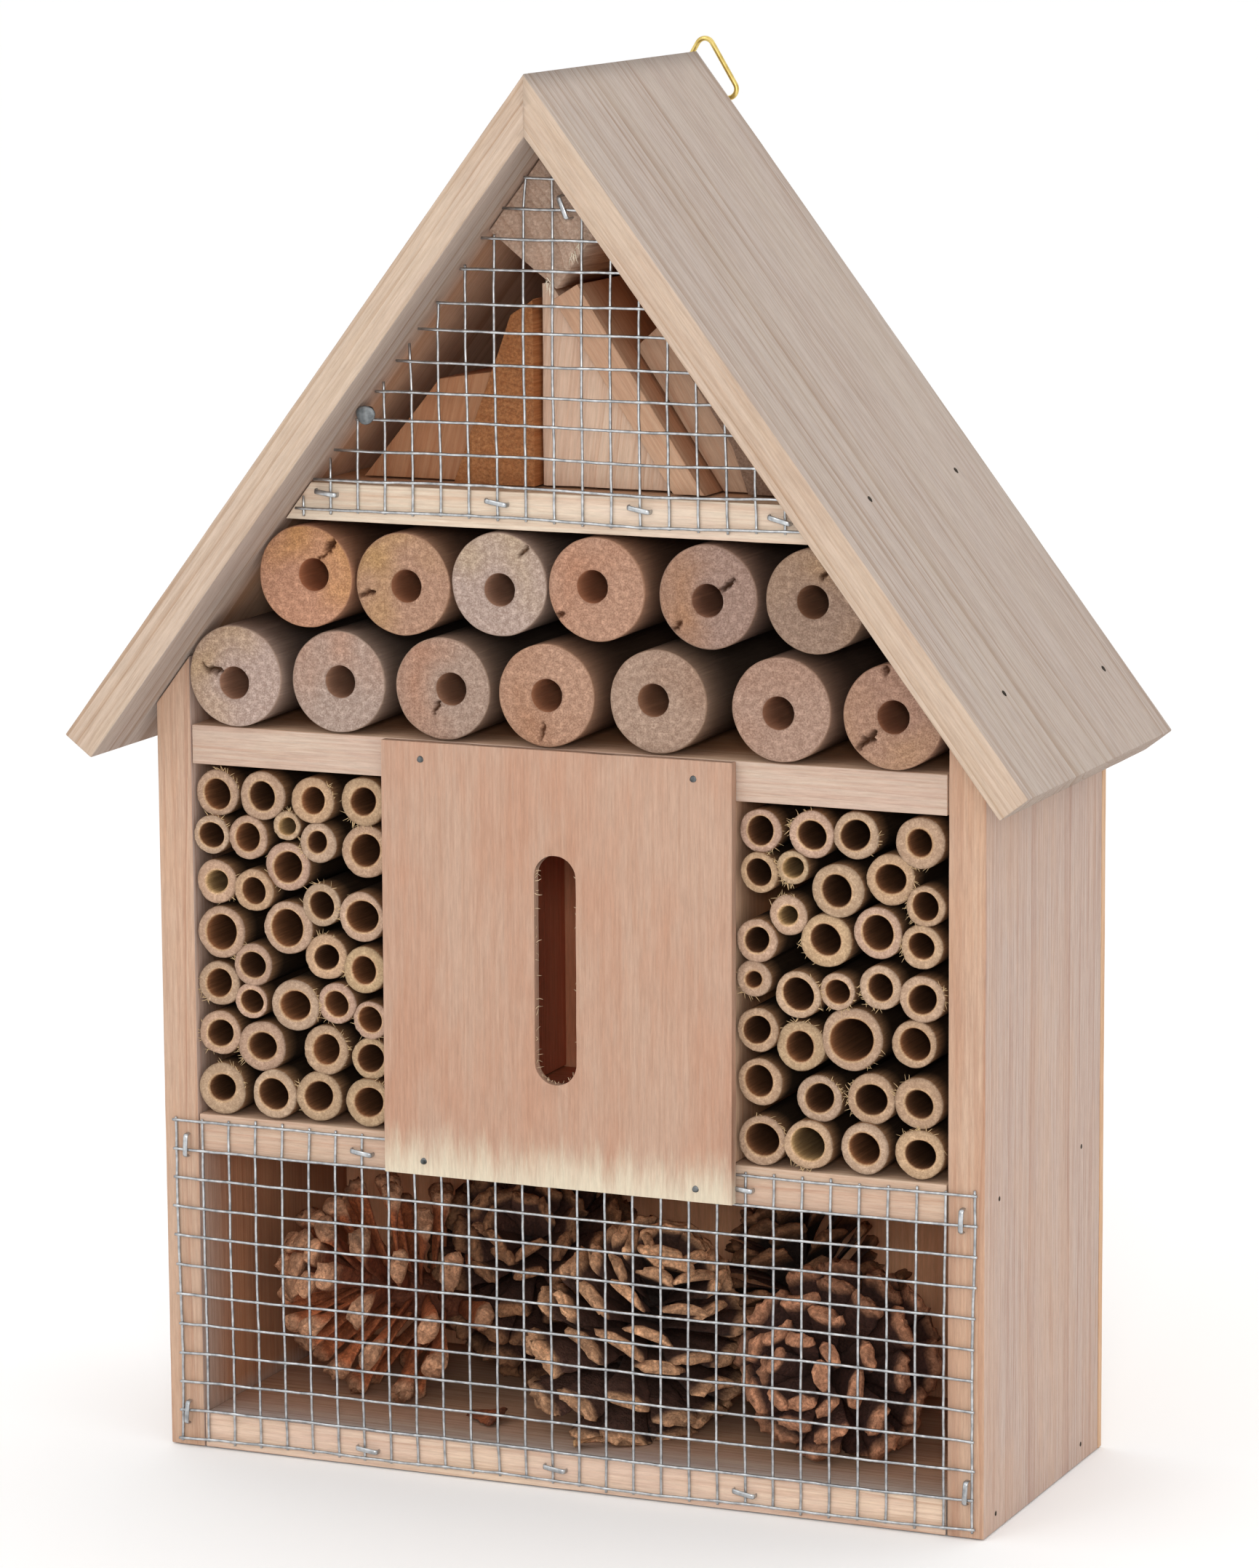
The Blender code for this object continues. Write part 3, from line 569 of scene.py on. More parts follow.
# x, height above the middle shelf, hole offset right and up, tone, patch tone, patch direction in degrees,
# and cracks (direction in degrees, inner radius, outer radius, width, depth)
LOGS_LOWER = (
    (-99.7, 15.0, -0.4, -2.0, (189, 168, 158), (198, 171, 142), 160, ((168, 4.2, 10.5, 1.7, 3.2),)),
    (-67.7, 15.0, 0.5, 0.0, (179, 159, 148), (185, 150, 131), 100, ()),
    (-35.0, 15.0, 2.5, 0.0, (174, 151, 137), (178, 138, 116), 170, ((250, 4, 7.5, 1.2, 1.6),)),
    (-3.0, 15.0, 0.0, 0.0, (185, 149, 127), (175, 134, 108), 210, ((262, 8, 12.5, 1, 1),)),
    (30.1, 15.0, -1.5, 0.3, (177, 152, 135), (165, 137, 119), 40, ()),
    (66.8, 15.0, -0.9, -1.0, (178, 149, 133), (170, 137, 119), 130, ()),
    (99.7, 15.0, 0.0, 0.0, (173, 139, 121), (180, 144, 115), 250,
     ((221, 7, 13.4, 2.0, 3.5), (100, 12, 14.7, 1.6, 2))),
)
LOGS_UPPER = (
    (-76.9, 44.6, 2.5, 0.6, (193, 147, 121), (199, 149, 99), 60,
     ((50, 10, 14.7, 2.2, 4), (46, 4.6, 10.5, 0.5, 1))),
    (-47.2, 43.7, 1.0, -0.5, (182, 146, 124), (186, 149, 105), 150, ((196, 9.5, 14.7, 1, 3),)),
    (-17.4, 45.2, 0.1, -1.5, (184, 164, 154), (189, 168, 145), 80, ((52, 10.5, 14.7, 0.8, 2),)),
    (12.4, 45.4, -1.3, 0.7, (185, 147, 125), (183, 138, 113), 150, ((214, 12.5, 14.7, 1.6, 2),)),
    (45.1, 44.8, -0.2, -1.0, (164, 138, 126), (171, 132, 105), 190,
     ((32, 4.4, 8.8, 1.6, 2.5), (222, 11, 13.8, 1.8, 1.4))),
    (76.9, 45.3, -0.8, -0.2, (158, 134, 118), (173, 144, 117), 70, ((70, 6.4, 11, 1.4, 1.6),)),
)


def log_face_depth(angle, radius, seed, cracks):
    """How far the sawn end is sunk at this place, and how dark it is there."""
    place = Vector((radius * cos(angle), radius * sin(angle), seed * 7.3))
    depth = 0.16 + 0.22 * noise.noise(place * 0.9) + 0.12 * noise.noise(place * 0.12)
    dark = 0.0
    for direction, inner, outer, width, deep in cracks:
        gap = angle - radians(direction)
        gap = atan2(sin(gap), cos(gap))
        if not inner - 0.8 < radius < outer + 1.2 or abs(gap) > 1.2:
            continue
        bend = 1.1 * ripple(radius * 0.5, seed, direction) + 0.4 * ripple(radius * 1.9, seed, 3)
        reach = (radius - inner) / max(0.1, outer - inner)
        half = width * (0.3 + 0.7 * abs(sin(3.1 * reach + 0.4))) / 2 * (1 + ripple(radius * 1.1, seed, 7))
        fill = max(0.0, 1.0 - abs(gap * radius + bend) / (half + 0.35))
        fill *= min(1.0, max(0.0, (outer + 1.2 - radius) / 1.5))
        fill *= min(1.0, max(0.0, (radius - inner + 0.8) / 1.0))
        depth += deep * min(1.0, fill * 1.5)
        dark = max(dark, min(1.0, fill * 1.4))
    return max(0.0, depth), dark


def make_logs():
    finish = toned("log_wood", (0.6, 0.02), (2.0, 0.06), (0.68, 0.61, 0.57), (1.2, 1.18, 1.16), 0.82, 0.5, calm=0.7)
    for row, places, first_seed in (("lower", LOGS_LOWER, 0), ("upper", LOGS_UPPER, 20)):
        for i, entry in enumerate(places):
            make_log(f"log_{row}_{i + 1}", entry, i + first_seed, finish)


def make_log(name, entry, seed, finish):
    x, height, dx, dz, tone, patch, patch_angle, cracks = entry
    low, high = box_mm(name)
    front, back = low[1], high[1]
    z = MIDDLE_SHELF[1] + height
    angles = np.arange(LOG_SEGMENTS) * tau / LOG_SEGMENTS
    tone, patch = dye(*tone), dye(*patch)
    rows, tints = [], []

    def wavy(angle, y):
        """The turned outline, a little flat in places, inside the CAD radius."""
        around = Vector((cos(angle) * 1.3, sin(angle) * 1.3, seed * 3.1 + y * 0.012))
        return LOG_RADIUS - 0.10 - 0.32 * abs(noise.noise(around)) - 0.06 * abs(noise.noise(around * 9))

    def add(radii, y, colour, offset=(0.0, 0.0)):
        rows.append(np.array([(x + offset[0] + r * cos(a), y, z + offset[1] + r * sin(a))
                              for a, r in zip(angles, radii)]))
        tints.append(np.tile(colour, (LOG_SEGMENTS, 1)))

    # The log's side is darkened with depth by painted shade where it sits in the row, and is a little lighter at the
    # front rim
    side_tone = tone * np.array((0.74, 0.68, 0.62))
    rims = [wavy(a, 0) for a in angles]
    add([r * 0.93 for r in rims], back, side_tone)
    for depth in (back - front, 70, 50, 35, 25, 18, 12, 7, 3, 0.9):
        y = front + depth
        add([wavy(a, y) for a in angles], y, side_tone * max(0.3, 1 - (y - front) / 30))
    add([r - 0.10 for r in rims], front + 0.38, side_tone * 1.12)
    first_sawn = len(rows)
    for j in range(SAWN_STEPS + 1):
        t = j / SAWN_STEPS
        ring, colours = [], []
        for a, rim in zip(angles, rims):
            ray = np.array((cos(a), sin(a)))
            spot = ray * (rim - 0.42) * (1 - t) + (np.array((dx, dz)) + ray * (LOG_BORE + 0.15)) * t
            radius, angle = float(np.hypot(*spot)), atan2(spot[1], spot[0])
            depth, dark = log_face_depth(angle, radius, seed, cracks)
            if j in (0, SAWN_STEPS):
                depth += 0.12
            cloud = 0.5 + 0.5 * ripple(spot[0] * 0.11, spot[1] * 0.11, seed * 2.7)
            toward = 0.5 + 0.5 * cos(angle - radians(patch_angle))
            share = min(1.0, max(0.0, 1.7 * cloud * toward * min(1.0, radius / 9) - 0.15))
            colour = (tone * (1 - share) + patch * share) * (0.965 + 0.035 * sin(radius * 2.1 + 3 * cloud))
            colours.append(colour * (1 - dark) + colour * CRACK_SHADE * dark)
            ring.append((x + spot[0], front + depth, z + spot[1]))
        rows.append(np.array(ring))
        tints.append(np.array(colours))
    wall = [LOG_BORE * (1 + 0.018 * ripple(cos(a) * 2, sin(a) * 2, seed)) for a in angles]
    for depth in (0.7, 3, 8, 20, 45, 62):
        add(wall, front + depth, tone * np.array((0.86, 0.62, 0.47)), (dx, dz))
    grains = [np.stack([ring[:, 0] - x + seed * 40, ring[:, 2] - z, ring[:, 1]], 1) for ring in rows]
    builder = Builder()
    builder.add_rings(rows, grain=grains, tint=np.vstack(tints))
    sawn = [1.0 if first_sawn <= r < first_sawn + SAWN_STEPS else 0.0 for r in range(len(rows) - 1)]
    builder.make(name + "_wood", finish, (name,), end=[*np.repeat(sawn, LOG_SEGMENTS), 0.0, 0.0])


# ---- bamboo

TUBE_SEGMENTS = 56
STRAW = ((0.6, 0.3), (2.0, 0.5), (0.86, 0.84, 0.8), (1.1, 1.1, 1.05), 0.7, 0.05)  # the finish of torn fibres
# Tubes by CAD group: distance from the compartment's left wall, height above the lower shelf, diameter and bore
BAMBOO_LEFT = (
    ((54.54, 7.85, 14.3, 8.8), (55.03, 20.49, 12.2, 8.2), (55.26, 31.69, 11.4, 7.4), (44.78, 35.64, 12.2, 7.4),
     (31.81, 34.20, 15.1, 9)),
    ((7.95, 7.95, 15.3, 8),),
    ((40.98, 21.83, 14.5, 8.6), (38.58, 8.03, 14.7, 8.8), (24.59, 7.55, 14.5, 9.2), (20.42, 21.23, 15.3, 8.4),
     (7.00, 24.00, 13.3, 8)),
    ((6.95, 38.47, 13.3, 8.2), (17.34, 34.16, 10.4, 7), (18.45, 44.95, 12.5, 7.8), (8.64, 53.92, 15.3, 10)),
    ((53.94, 46.20, 13.7, 7.8), (41.20, 48.81, 13.5, 7.6), (29.43, 56.39, 15.7, 10.4), (40.62, 63.96, 12.5, 7.8),
     (53.31, 61.63, 14.5, 9.6)),
    ((7.18, 68.47, 12.9, 6.8), (19.16, 66.77, 12.5, 7.6), (29.64, 74.12, 14.3, 9), (39.44, 81.79, 11.8, 6.2),
     (38.09, 93.86, 13.7, 7.6)),
    ((54.49, 80.40, 15.3, 9.2), (54.01, 94.60, 14.3, 8)),
    ((29.47, 86.04, 8.8, 5.4), (21.91, 94.10, 14.5, 8.2), (17.57, 81.85, 12.7, 8), (6.12, 82.06, 11.4, 7.6),
     (7.44, 93.94, 13.7, 8.6)),
)
BAMBOO_RIGHT = (
    ((38.56, 7.99, 14.5, 9), (40.07, 21.81, 14.5, 9), (53.97, 21.68, 14.5, 8), (54.47, 7.79, 14.5, 8.6)),
    ((7.98, 7.55, 14.5, 9.6), (21.88, 7.55, 14.5, 9.6), (24.64, 20.66, 13.5, 8.4)),
    ((7.05, 24.00, 13.5, 8.6),),
    ((52.65, 38.19, 13.5, 9), (54.99, 50.88, 13.5, 8.2), (42.86, 53.43, 12.5, 7.4)),
    ((6.81, 38.78, 12.5, 8), (19.10, 34.86, 14.5, 8.4), (34.49, 38.19, 18.2, 12.4), (30.25, 51.32, 10.6, 7),
     (18.93, 49.57, 13.5, 9.2)),
    ((5.65, 52.99, 10.6, 4.8), (6.89, 63.87, 12.5, 7.2), (15.46, 71.38, 11.5, 5.6), (26.70, 65.26, 15.3, 8.8),
     (30.37, 79.50, 15.3, 8.8)),
    ((42.22, 68.33, 14.5, 9.4), (54.84, 65.62, 12.5, 7.4), (56.14, 76.95, 11.5, 7.8), (45.55, 83.39, 14.5, 8.6),
     (54.27, 94.21, 14.5, 7.4)),
    ((35.50, 94.99, 13.5, 8.6), (22.62, 94.30, 13.5, 8.2), (17.08, 84.86, 9.6, 6.2), (7.31, 82.97, 11.5, 7.6),
     (7.48, 94.37, 12.5, 8)),
)
# Tubes (side, group, place in the group) whose bore still holds pale pith
PITHY = {("left", 7, 0), ("left", 5, 0), ("right", 7, 2), ("right", 5, 2), ("right", 1, 1)}


def make_tube(name, node, x, z, diameter, bore, front, rng, pithy, finish):
    """One cut length of bamboo: uneven outline, fibrous end wall, paler inner rim with a painted highlight, and a
    dark bore with painted shade.
    """
    angles = np.arange(TUBE_SEGMENTS) * tau / TUBE_SEGMENTS
    outline = np.ones(TUBE_SEGMENTS)
    for count in (1, 2, 3, 5):
        outline += rng.uniform(0.006, 0.026) / count ** 0.5 * (np.cos(angles * count + rng.uniform(0, tau)) - 0.2)
    if rng.random() < 0.4:
        outline -= rng.uniform(0.02, 0.06) * np.maximum(0, np.cos(angles - rng.uniform(0, tau))) ** 6
    seed = rng.uniform(0, 90)
    torn = np.array([ripple(cos(a) * 5, sin(a) * 5, seed) for a in angles])
    ragged = 0.35 * np.maximum(0, torn - 0.05)
    outer = np.minimum(outline, 1.03) * diameter / 2
    shift = [rng.uniform(-0.25, 0.25) for _ in "xz"]
    inner = (bore / 2 - 0.15) * (1 + 0.05 * np.cos(2 * angles + rng.uniform(0, tau)))
    lean = [rng.uniform(-0.012, 0.012) for _ in "xz"]
    warm = rng.uniform(0.72, 0.86)
    wall = dye(216, 184, 156) * warm * np.array((1, rng.uniform(0.95, 1.03), rng.uniform(0.88, 1.06)))
    rim, skin = dye(220, 184, 146) * warm, dye(158, 118, 84) * warm
    hollow = dye(140, 94, 62) * rng.uniform(0.45, 1.0)
    if pithy:
        hollow = dye(170, 140, 98)
    rows, tints = [], []

    def add(radii, depth, colour, offset=0.0, rough=0.0):
        ring = []
        for a, r in zip(angles, radii):
            wave = rough * ripple(cos(a) * r * 1.1, sin(a) * r * 1.1, seed)
            px, pz = r * cos(a) + shift[0] * offset, r * sin(a) + shift[1] * offset
            ring.append((x + px, front + depth + wave + px * lean[0] + pz * lean[1], z + pz))
        rows.append(np.array(ring))
        tints.append(np.tile(colour, (TUBE_SEGMENTS, 1)))

    # the outer skin darkens with depth: painted shade inside the compartment
    add(outer * 0.8, 91.3, skin * 0.3)
    for depth in (90.9, 40, 24, 14, 8, 4, 1.5, 0.75):
        add(outer, depth, skin * max(0.14, 1 - depth / 9))
    add(outer - 0.1 - ragged, 0.34, wall * 0.66)
    # the end wall darkens towards the outer edge; its inner rim is lightened as a painted highlight
    for t, colour in ((0.08, wall * 0.74), (0.25, wall * 0.88), (0.5, wall * 0.94), (0.75, wall), (0.9, rim * 1.14)):
        add((outer - ragged * (1 - t)) * (1 - t) + (inner + 0.1) * t, 0.12, colour, t, 0.3)
    # the bore darkens with depth: painted shade
    add(inner, 0.6, hollow * 1.25, 1.0)
    for depth, dark in ((2.5, 1.0), (6, 0.8), (12, 0.6), (22, 0.45), (45, 0.4), (70, 0.5)):
        add(inner * 0.985, depth, hollow * dark, 1.0)
    grains = [np.stack([(r[:, 0] - x) + seed * 9, r[:, 2] - z, r[:, 1]], 1) for r in rows]
    builder = Builder()
    builder.add_rings(rows, grain=grains, tint=np.vstack(tints))
    builder.make(name, finish, (node,))
    return outer


def make_bamboo():
    finish = toned("bamboo_cane", (0.8, 0.03), (2.2, 0.07), (0.78, 0.73, 0.69), (1.14, 1.13, 1.12), 0.8, 0.4)
    straw = toned("bamboo_fibre", *STRAW)
    rng = random.Random(41)
    hairs = Builder()
    for side, groups, left in (("left", BAMBOO_LEFT, -INNER_X), ("right", BAMBOO_RIGHT, DIVIDER_OUTER)):
        for g, group in enumerate(groups):
            for i, (x, z, diameter, bore) in enumerate(group):
                front = FRONT + 0.4 * ((i * 3 + g) % 4)
                place = (left + x, LOWER_SHELF[1] + z)
                name, node = f"bamboo_tube_{side}_{g + 1}_{i + 1}", f"bamboo_{side}_{g + 1}"
                pithy = (side, g, i) in PITHY
                outer = make_tube(name, node, *place, diameter, bore, front, rng, pithy, finish)
                fray(hairs, place, outer, front, rng)
    hairs.make("bamboo_frayed_fibres", straw)


def fray(hairs, place, outer, front, rng):
    """Fine torn fibres at a stretch of the tube's sawn outer edge."""
    if rng.random() < 0.2:
        return
    middle = rng.uniform(0, tau)
    for _ in range(rng.randint(6, 16)):
        angle = middle + rng.gauss(0, 0.45)
        radius = outer[int(angle / tau * TUBE_SEGMENTS) % TUBE_SEGMENTS] - 0.12
        length = rng.uniform(0.6, 2.0)
        turn = angle + rng.uniform(-1.2, 1.2)
        path = [(
            place[0] + radius * cos(angle) + length * t * cos(turn),
            front + 0.35 - rng.uniform(0.0, 0.25) * t - 0.2 * t * t,
            place[1] + radius * sin(angle) + length * t * sin(turn),
        ) for t in (0, 0.25, 0.5, 0.75, 1)]
        tone = dye(218, 188, 146) * rng.uniform(0.8, 1.05)
        sweep(hairs, path, rng.uniform(0.05, 0.11), sides=4, tint=tone, scales=(1, 0.95, 0.8, 0.6, 0.25))


# ---- welded wire mesh

WIRE_RADIUS = 0.42
LEVEL_WIRES, UPRIGHT_WIRES = FRONT - 1.05, FRONT - 0.42
LOWER_COLUMNS = [-122.0 + 8.44 * i for i in range(30)]
LOWER_ROWS = [2.6 + 8.6 * i for i in range(12)]
ATTIC_COLUMNS = [-78.0 + 8.6 * i for i in range(18)]
# Each row of the attic mesh: its height and how far its wire reaches to the left and right
ATTIC_ROWS = (
    (277.0, -80.0, 80.0), (285.5, -76.0, 71.0), (294.0, -69.0, 64.5), (303.0, -62.0, 57.5), (311.0, -55.0, 51.0),
    (319.5, -49.0, 45.0), (328.5, -42.0, 38.0), (336.0, -36.5, 32.0), (345.5, -29.5, 25.5), (354.0, -23.0, 19.0),
    (362.5, -16.0, 13.0), (371.0, -9.5, 7.0),
)
# Cut ends of upright wires that stand above the last row they cross: place of the column and top
ATTIC_STUBS = {0: 281.0, 1: 291.5, 2: 300.0, 3: 313.5, 4: 325.0, 5: 337.0, 6: 347.5}


def crossing(x, z, seed, size):
    """How far a crossing has wandered from the true grid, to the right, upwards and outwards."""
    place = Vector((x * 0.018, z * 0.018, seed))
    fine = Vector((x * 0.31, z * 0.31, seed + 5))
    aside = Vector((9, 0, 0))
    return (
        size * noise.noise(place) + 0.22 * noise.noise(fine),
        size * noise.noise(place + aside) + 0.22 * noise.noise(fine + aside),
        0.35 * abs(noise.noise(place * 1.7 + Vector((0, 9, 0)))),
    )


def wire_run(builder, stops, y, start_tail, end_tail, rng):
    """A wire through its crossings, thicker where it is welded, with a cut tail at each end."""
    stops = np.asarray(stops, float)
    first = stops[0] + unit(stops[0] - stops[1]) * start_tail
    last = stops[-1] + unit(stops[-1] - stops[-2]) * end_tail
    knots = [first, *stops, last]
    path, scales = [first], [0.96]
    for before, stop, after in zip(knots, knots[1:], knots[2:]):
        shoulders = []
        for beside in (before, after):
            gap = np.linalg.norm(beside - stop)
            shoulders.append(stop + (beside - stop) / max(0.01, gap) * min(0.75, 0.4 * gap))
        path += [shoulders[0], stop, shoulders[1]]
        scales += [1.0, 1.22, 1.0]
        if after is not last:
            path.append((stop + after) / 2 + np.array((rng.uniform(-0.1, 0.1), 0, rng.uniform(-0.1, 0.1))))
            scales.append(0.97)
    path = np.array([*path, last])
    path[:, 1] += y
    sweep(builder, path, WIRE_RADIUS, scales=[*scales, 0.9])


def make_lower_mesh(zinc):
    rng = random.Random(7)
    builder = Builder()
    columns, rows = len(LOWER_COLUMNS), len(LOWER_ROWS)
    grid = {}
    for i, x in enumerate(LOWER_COLUMNS):
        for j, z in enumerate(LOWER_ROWS):
            edge = i in (0, columns - 1) or j in (0, rows - 1)
            dx, dz, out = crossing(x, z, 1.0, 1.7 if edge else 0.8)
            grid[i, j] = (x + dx * 0.8, -out * (0.2 if edge else 1.0), z + dz * 0.8)
    for i in range(columns):
        stops = [grid[i, j] for j in range(rows)]
        wire_run(builder, stops, UPRIGHT_WIRES, rng.uniform(0.6, 1.5), rng.uniform(0.6, 1.5), rng)
    for j in range(rows):
        stops = [grid[i, j] for i in range(columns)]
        wire_run(builder, stops, LEVEL_WIRES, rng.uniform(0.5, 1.1), rng.uniform(0.5, 1.1), rng)
    builder.make("wire_mesh_lower_wires", zinc, ("wire_mesh_lower",))


def make_attic_mesh(zinc):
    rng = random.Random(19)
    builder = Builder()
    grid = {}
    for i, x in enumerate(ATTIC_COLUMNS):
        for j, (z, left, right) in enumerate(ATTIC_ROWS):
            if left - 0.3 <= x <= right + 0.3:
                dx, dz, out = crossing(x, z, 3.0, 1.0)
                reach = (APEX_Z - z) / tan(SLOPE) - 1.2
                grid[i, j] = (max(-reach, min(reach, x + dx)), -out * 0.6, z + dz)
    for i in range(len(ATTIC_COLUMNS)):
        stops = [grid[i, j] for j in range(len(ATTIC_ROWS)) if (i, j) in grid]
        if not stops:
            continue
        x, _, z = stops[-1]
        top = ATTIC_STUBS.get(i, z + rng.uniform(0.6, 1.6))
        tail = max(0.3, min(top - z, under_roof(x, 0.9) - z))
        if len(stops) == 1:
            stops.insert(0, (x, 0.0, z - 1.0))
        wire_run(builder, stops, UPRIGHT_WIRES, rng.uniform(0.6, 1.4), tail, rng)
    for j, (z, left, right) in enumerate(ATTIC_ROWS):
        stops = [grid[i, j] for i in range(len(ATTIC_COLUMNS)) if (i, j) in grid]
        reach = (APEX_Z - z) / tan(SLOPE) - 0.9
        start_tail = max(0.2, stops[0][0] - max(left, -reach))
        end_tail = max(0.2, min(right, reach) - stops[-1][0])
        wire_run(builder, stops, LEVEL_WIRES, start_tail, end_tail, rng)
    builder.make("wire_mesh_attic_wires", zinc, ("wire_mesh_attic",))


# Staples: x, z, turn of the crown from level in degrees
STAPLES = (
    (-118.6, 90.0, 87), (-119.8, 10.2, 85), (119.6, 90.0, 88), (121.0, 13.2, 86),
    (-62.4, 92.8, -8), (54.6, 93.0, -6), (-62.0, 5.2, -7), (-3.0, 6.2, -8), (55.0, 5.6, -10),
    (-70.4, 281.6, -8), (-18.0, 281.2, -9), (25.0, 281.2, -10), (66.5, 280.2, -14), (3.2, 363.2, -68),
)


def make_staples(zinc):
    half = [(0.0, -1.86), (2.5, -1.78), (3.0, -1.62), (3.3, -1.1), (3.35, 0.4), (3.35, 3.0)]
    profile = [(-u, y) for u, y in half[:0:-1]] + half
    for number, (x, z, turn) in enumerate(STAPLES):
        right, up = cos(radians(turn)), sin(radians(turn))
        builder = Builder()
        path = [(x + u * right, FRONT + y, z + u * up) for u, y in profile]
        sweep(builder, path, 0.72, 0.32, sides=12, across=(-up, 0, right))
        builder.make(f"staple_{number + 1}", zinc)


# ---- nails and brads


def make_head(name, place, outward, radius, rise, finish, depth=2.5):
    """A nail or brad seen end-on: a low domed head on a shank that goes into the wood."""
    axis = Vector(outward).normalized()
    side = axis.orthogonal().normalized()
    other = axis.cross(side)
    profile = [(radius * 0.45, -depth), (radius * 0.5, -0.2), (radius * 0.92, -0.05), (radius, rise * 0.35),
               (radius * 0.94, rise * 0.75), (radius * 0.6, rise), (radius * 0.2, rise * 0.93)]
    rings = []
    for size, level in profile:
        ring = []
        for i in range(18):
            a = tau * i / 18
            dent = 1 + 0.05 * sin(3 * a + radius * 9)
            ring.append(Vector(place) + axis * level + (side * cos(a) + other * sin(a)) * size * dent)
        rings.append(np.array(ring))
    builder = Builder()
    builder.add_rings(rings)
    builder.make(name, finish)


def make_fasteners(steel):
    nail = metal("panel_nail", srgb(46, 47, 47), srgb(122, 125, 126), 0.4)
    # sunk brad heads are dark brown: partly the brad's own dark head, partly painted shade of the hole it is sunk in
    dark = metal("sunk_brad", srgb(50, 44, 38), srgb(82, 74, 64), 0.7)
    low, high = box_mm("butterfly_panel")
    top, bottom = high[2], low[2]
    panel_face, tilt = FRONT - 0.3 - 3.2, tan(radians(0.6))
    places = ((-41.0, top - 4.9), (41.8, top - 5.2), (-41.0, bottom + 4.2), (42.4, bottom + 3.8))
    for i, (x, z) in enumerate(places):
        y = panel_face - (top - z) * tilt
        make_head(f"panel_nail_{i + 1}", (x, y, z), (0.12, -1, 0.1), 0.95, 0.22, nail)
    for name, side in (("left", -1), ("right", 1)):
        down = Vector((side * cos(SLOPE), 0, -sin(SLOPE)))
        for i, (along, y) in enumerate(((144.6, -38.7), (144.5, 28.2), (208.8, -39.4), (213.7, 34.1))):
            place = Vector((side * 0.15, y, RIDGE_Z)) + down * along
            make_head(f"roof_brad_{name}_{i + 1}", place, (side * sin(SLOPE), 0, cos(SLOPE)), 0.95, 0.05, dark)
        x = side * (INNER_X + 10.9)
        for i, (z, y) in enumerate(((94.0, -38.0), (93.5, 30.0), (5.0, -40.0), (5.5, 31.0), (207.5, -36.0))):
            make_head(f"side_brad_{name}_{i + 1}", (x, y, z), (side, 0, 0), 0.7, 0.03, dark)
    make_head("roof_clout_nail", (-57.2, FRONT - 1.9, 304.2), (0.25, -1, -0.15), 2.75, 0.5, steel, 5.0)


def make_splinters():
    """Torn veneer fibres along the slot and under the panel's lower edge, and at the ridge block's sawn end."""
    straw = toned("veneer_splinter", *STRAW)
    taper = (1, 1, 0.9, 0.75, 0.5, 0.2)
    rng = random.Random(5)
    low, high = box_mm("butterfly_panel")
    middle, y = (low[2] + high[2]) / 2, FRONT - 3.4 - 0.65
    places = []
    for _ in range(34):
        places.append((-6.3, middle + rng.uniform(-30, 30), rng.uniform(-0.5, 1.2), rng.uniform(0.6, 2.6)))
    for _ in range(9):
        places.append((6.3, middle + rng.uniform(-28, 28), pi + rng.uniform(-1.1, 0.8), rng.uniform(0.4, 1.4)))
    for _ in range(14):
        angle = rng.uniform(pi, tau)
        places.append((6.1 * cos(angle), middle - 26.2 + 6.1 * sin(angle), pi / 2 + rng.uniform(-0.6, 0.6),
                       rng.uniform(0.4, 1.3)))
    for _ in range(26):
        places.append((rng.uniform(-53, 53), low[2] + 0.2, -pi / 2 + rng.uniform(-0.9, 0.9), rng.uniform(0.2, 0.7)))
    splinters = Builder()
    for x, z, angle, length in places:
        curl = rng.uniform(-0.9, 0.9)
        path, at = [], np.array((x, y + rng.uniform(0.3, 1.6), z))
        for _ in taper:
            path.append(at)
            at = at + np.array((cos(angle), rng.uniform(-0.15, 0.1), sin(angle))) * length / 5
            angle += curl / 5
        tone = dye(214, 190, 160) * rng.uniform(0.75, 1.1)
        sweep(splinters, path, rng.uniform(0.05, 0.13), sides=4, tint=tone, scales=taper)
    splinters.make("panel_splinters", straw)
    low, high = box_mm("ridge_block")
    bottom = np.array(((low[0] + high[0]) / 2, low[1], low[2]))
    fibres = Builder()
    for k in range(22):
        beside = rng.uniform(6, 9) if k % 2 else rng.uniform(-1.4, 1.6)
        at = bottom + np.array((beside, 0.1, 1.25 * abs(beside) + rng.uniform(0.5, 2.2)))
        angle, path = rng.uniform(-2.2, -0.5), []
        for _ in taper:
            path.append(at)
            at = at + np.array((cos(angle), rng.uniform(-0.12, 0.02), sin(angle))) * rng.uniform(0.3, 0.7)
            angle += rng.uniform(-0.3, 0.3)
        tone = dye(232, 220, 204) * rng.uniform(0.8, 1.05)
        sweep(fibres, path, rng.uniform(0.08, 0.16), sides=4, tint=tone, scales=taper)
    fibres.make("ridge_block_fibres", straw)


# ---- pine cones

GOLDEN_TURN = radians(137.508)
# Sections of a scale: share of its length, of its width and of its thickness
SCALE_SECTIONS = ((0.0, 0.42, 0.4), (0.15, 0.5, 0.32), (0.32, 0.62, 0.28), (0.5, 0.76, 0.3), (0.64, 0.88, 0.36),
                  (0.76, 0.97, 0.5), (0.84, 1.0, 0.78), (0.91, 0.99, 1.05), (0.96, 0.9, 1.1), (0.985, 0.72, 0.9),
                  (1.0, 0.4, 0.45))


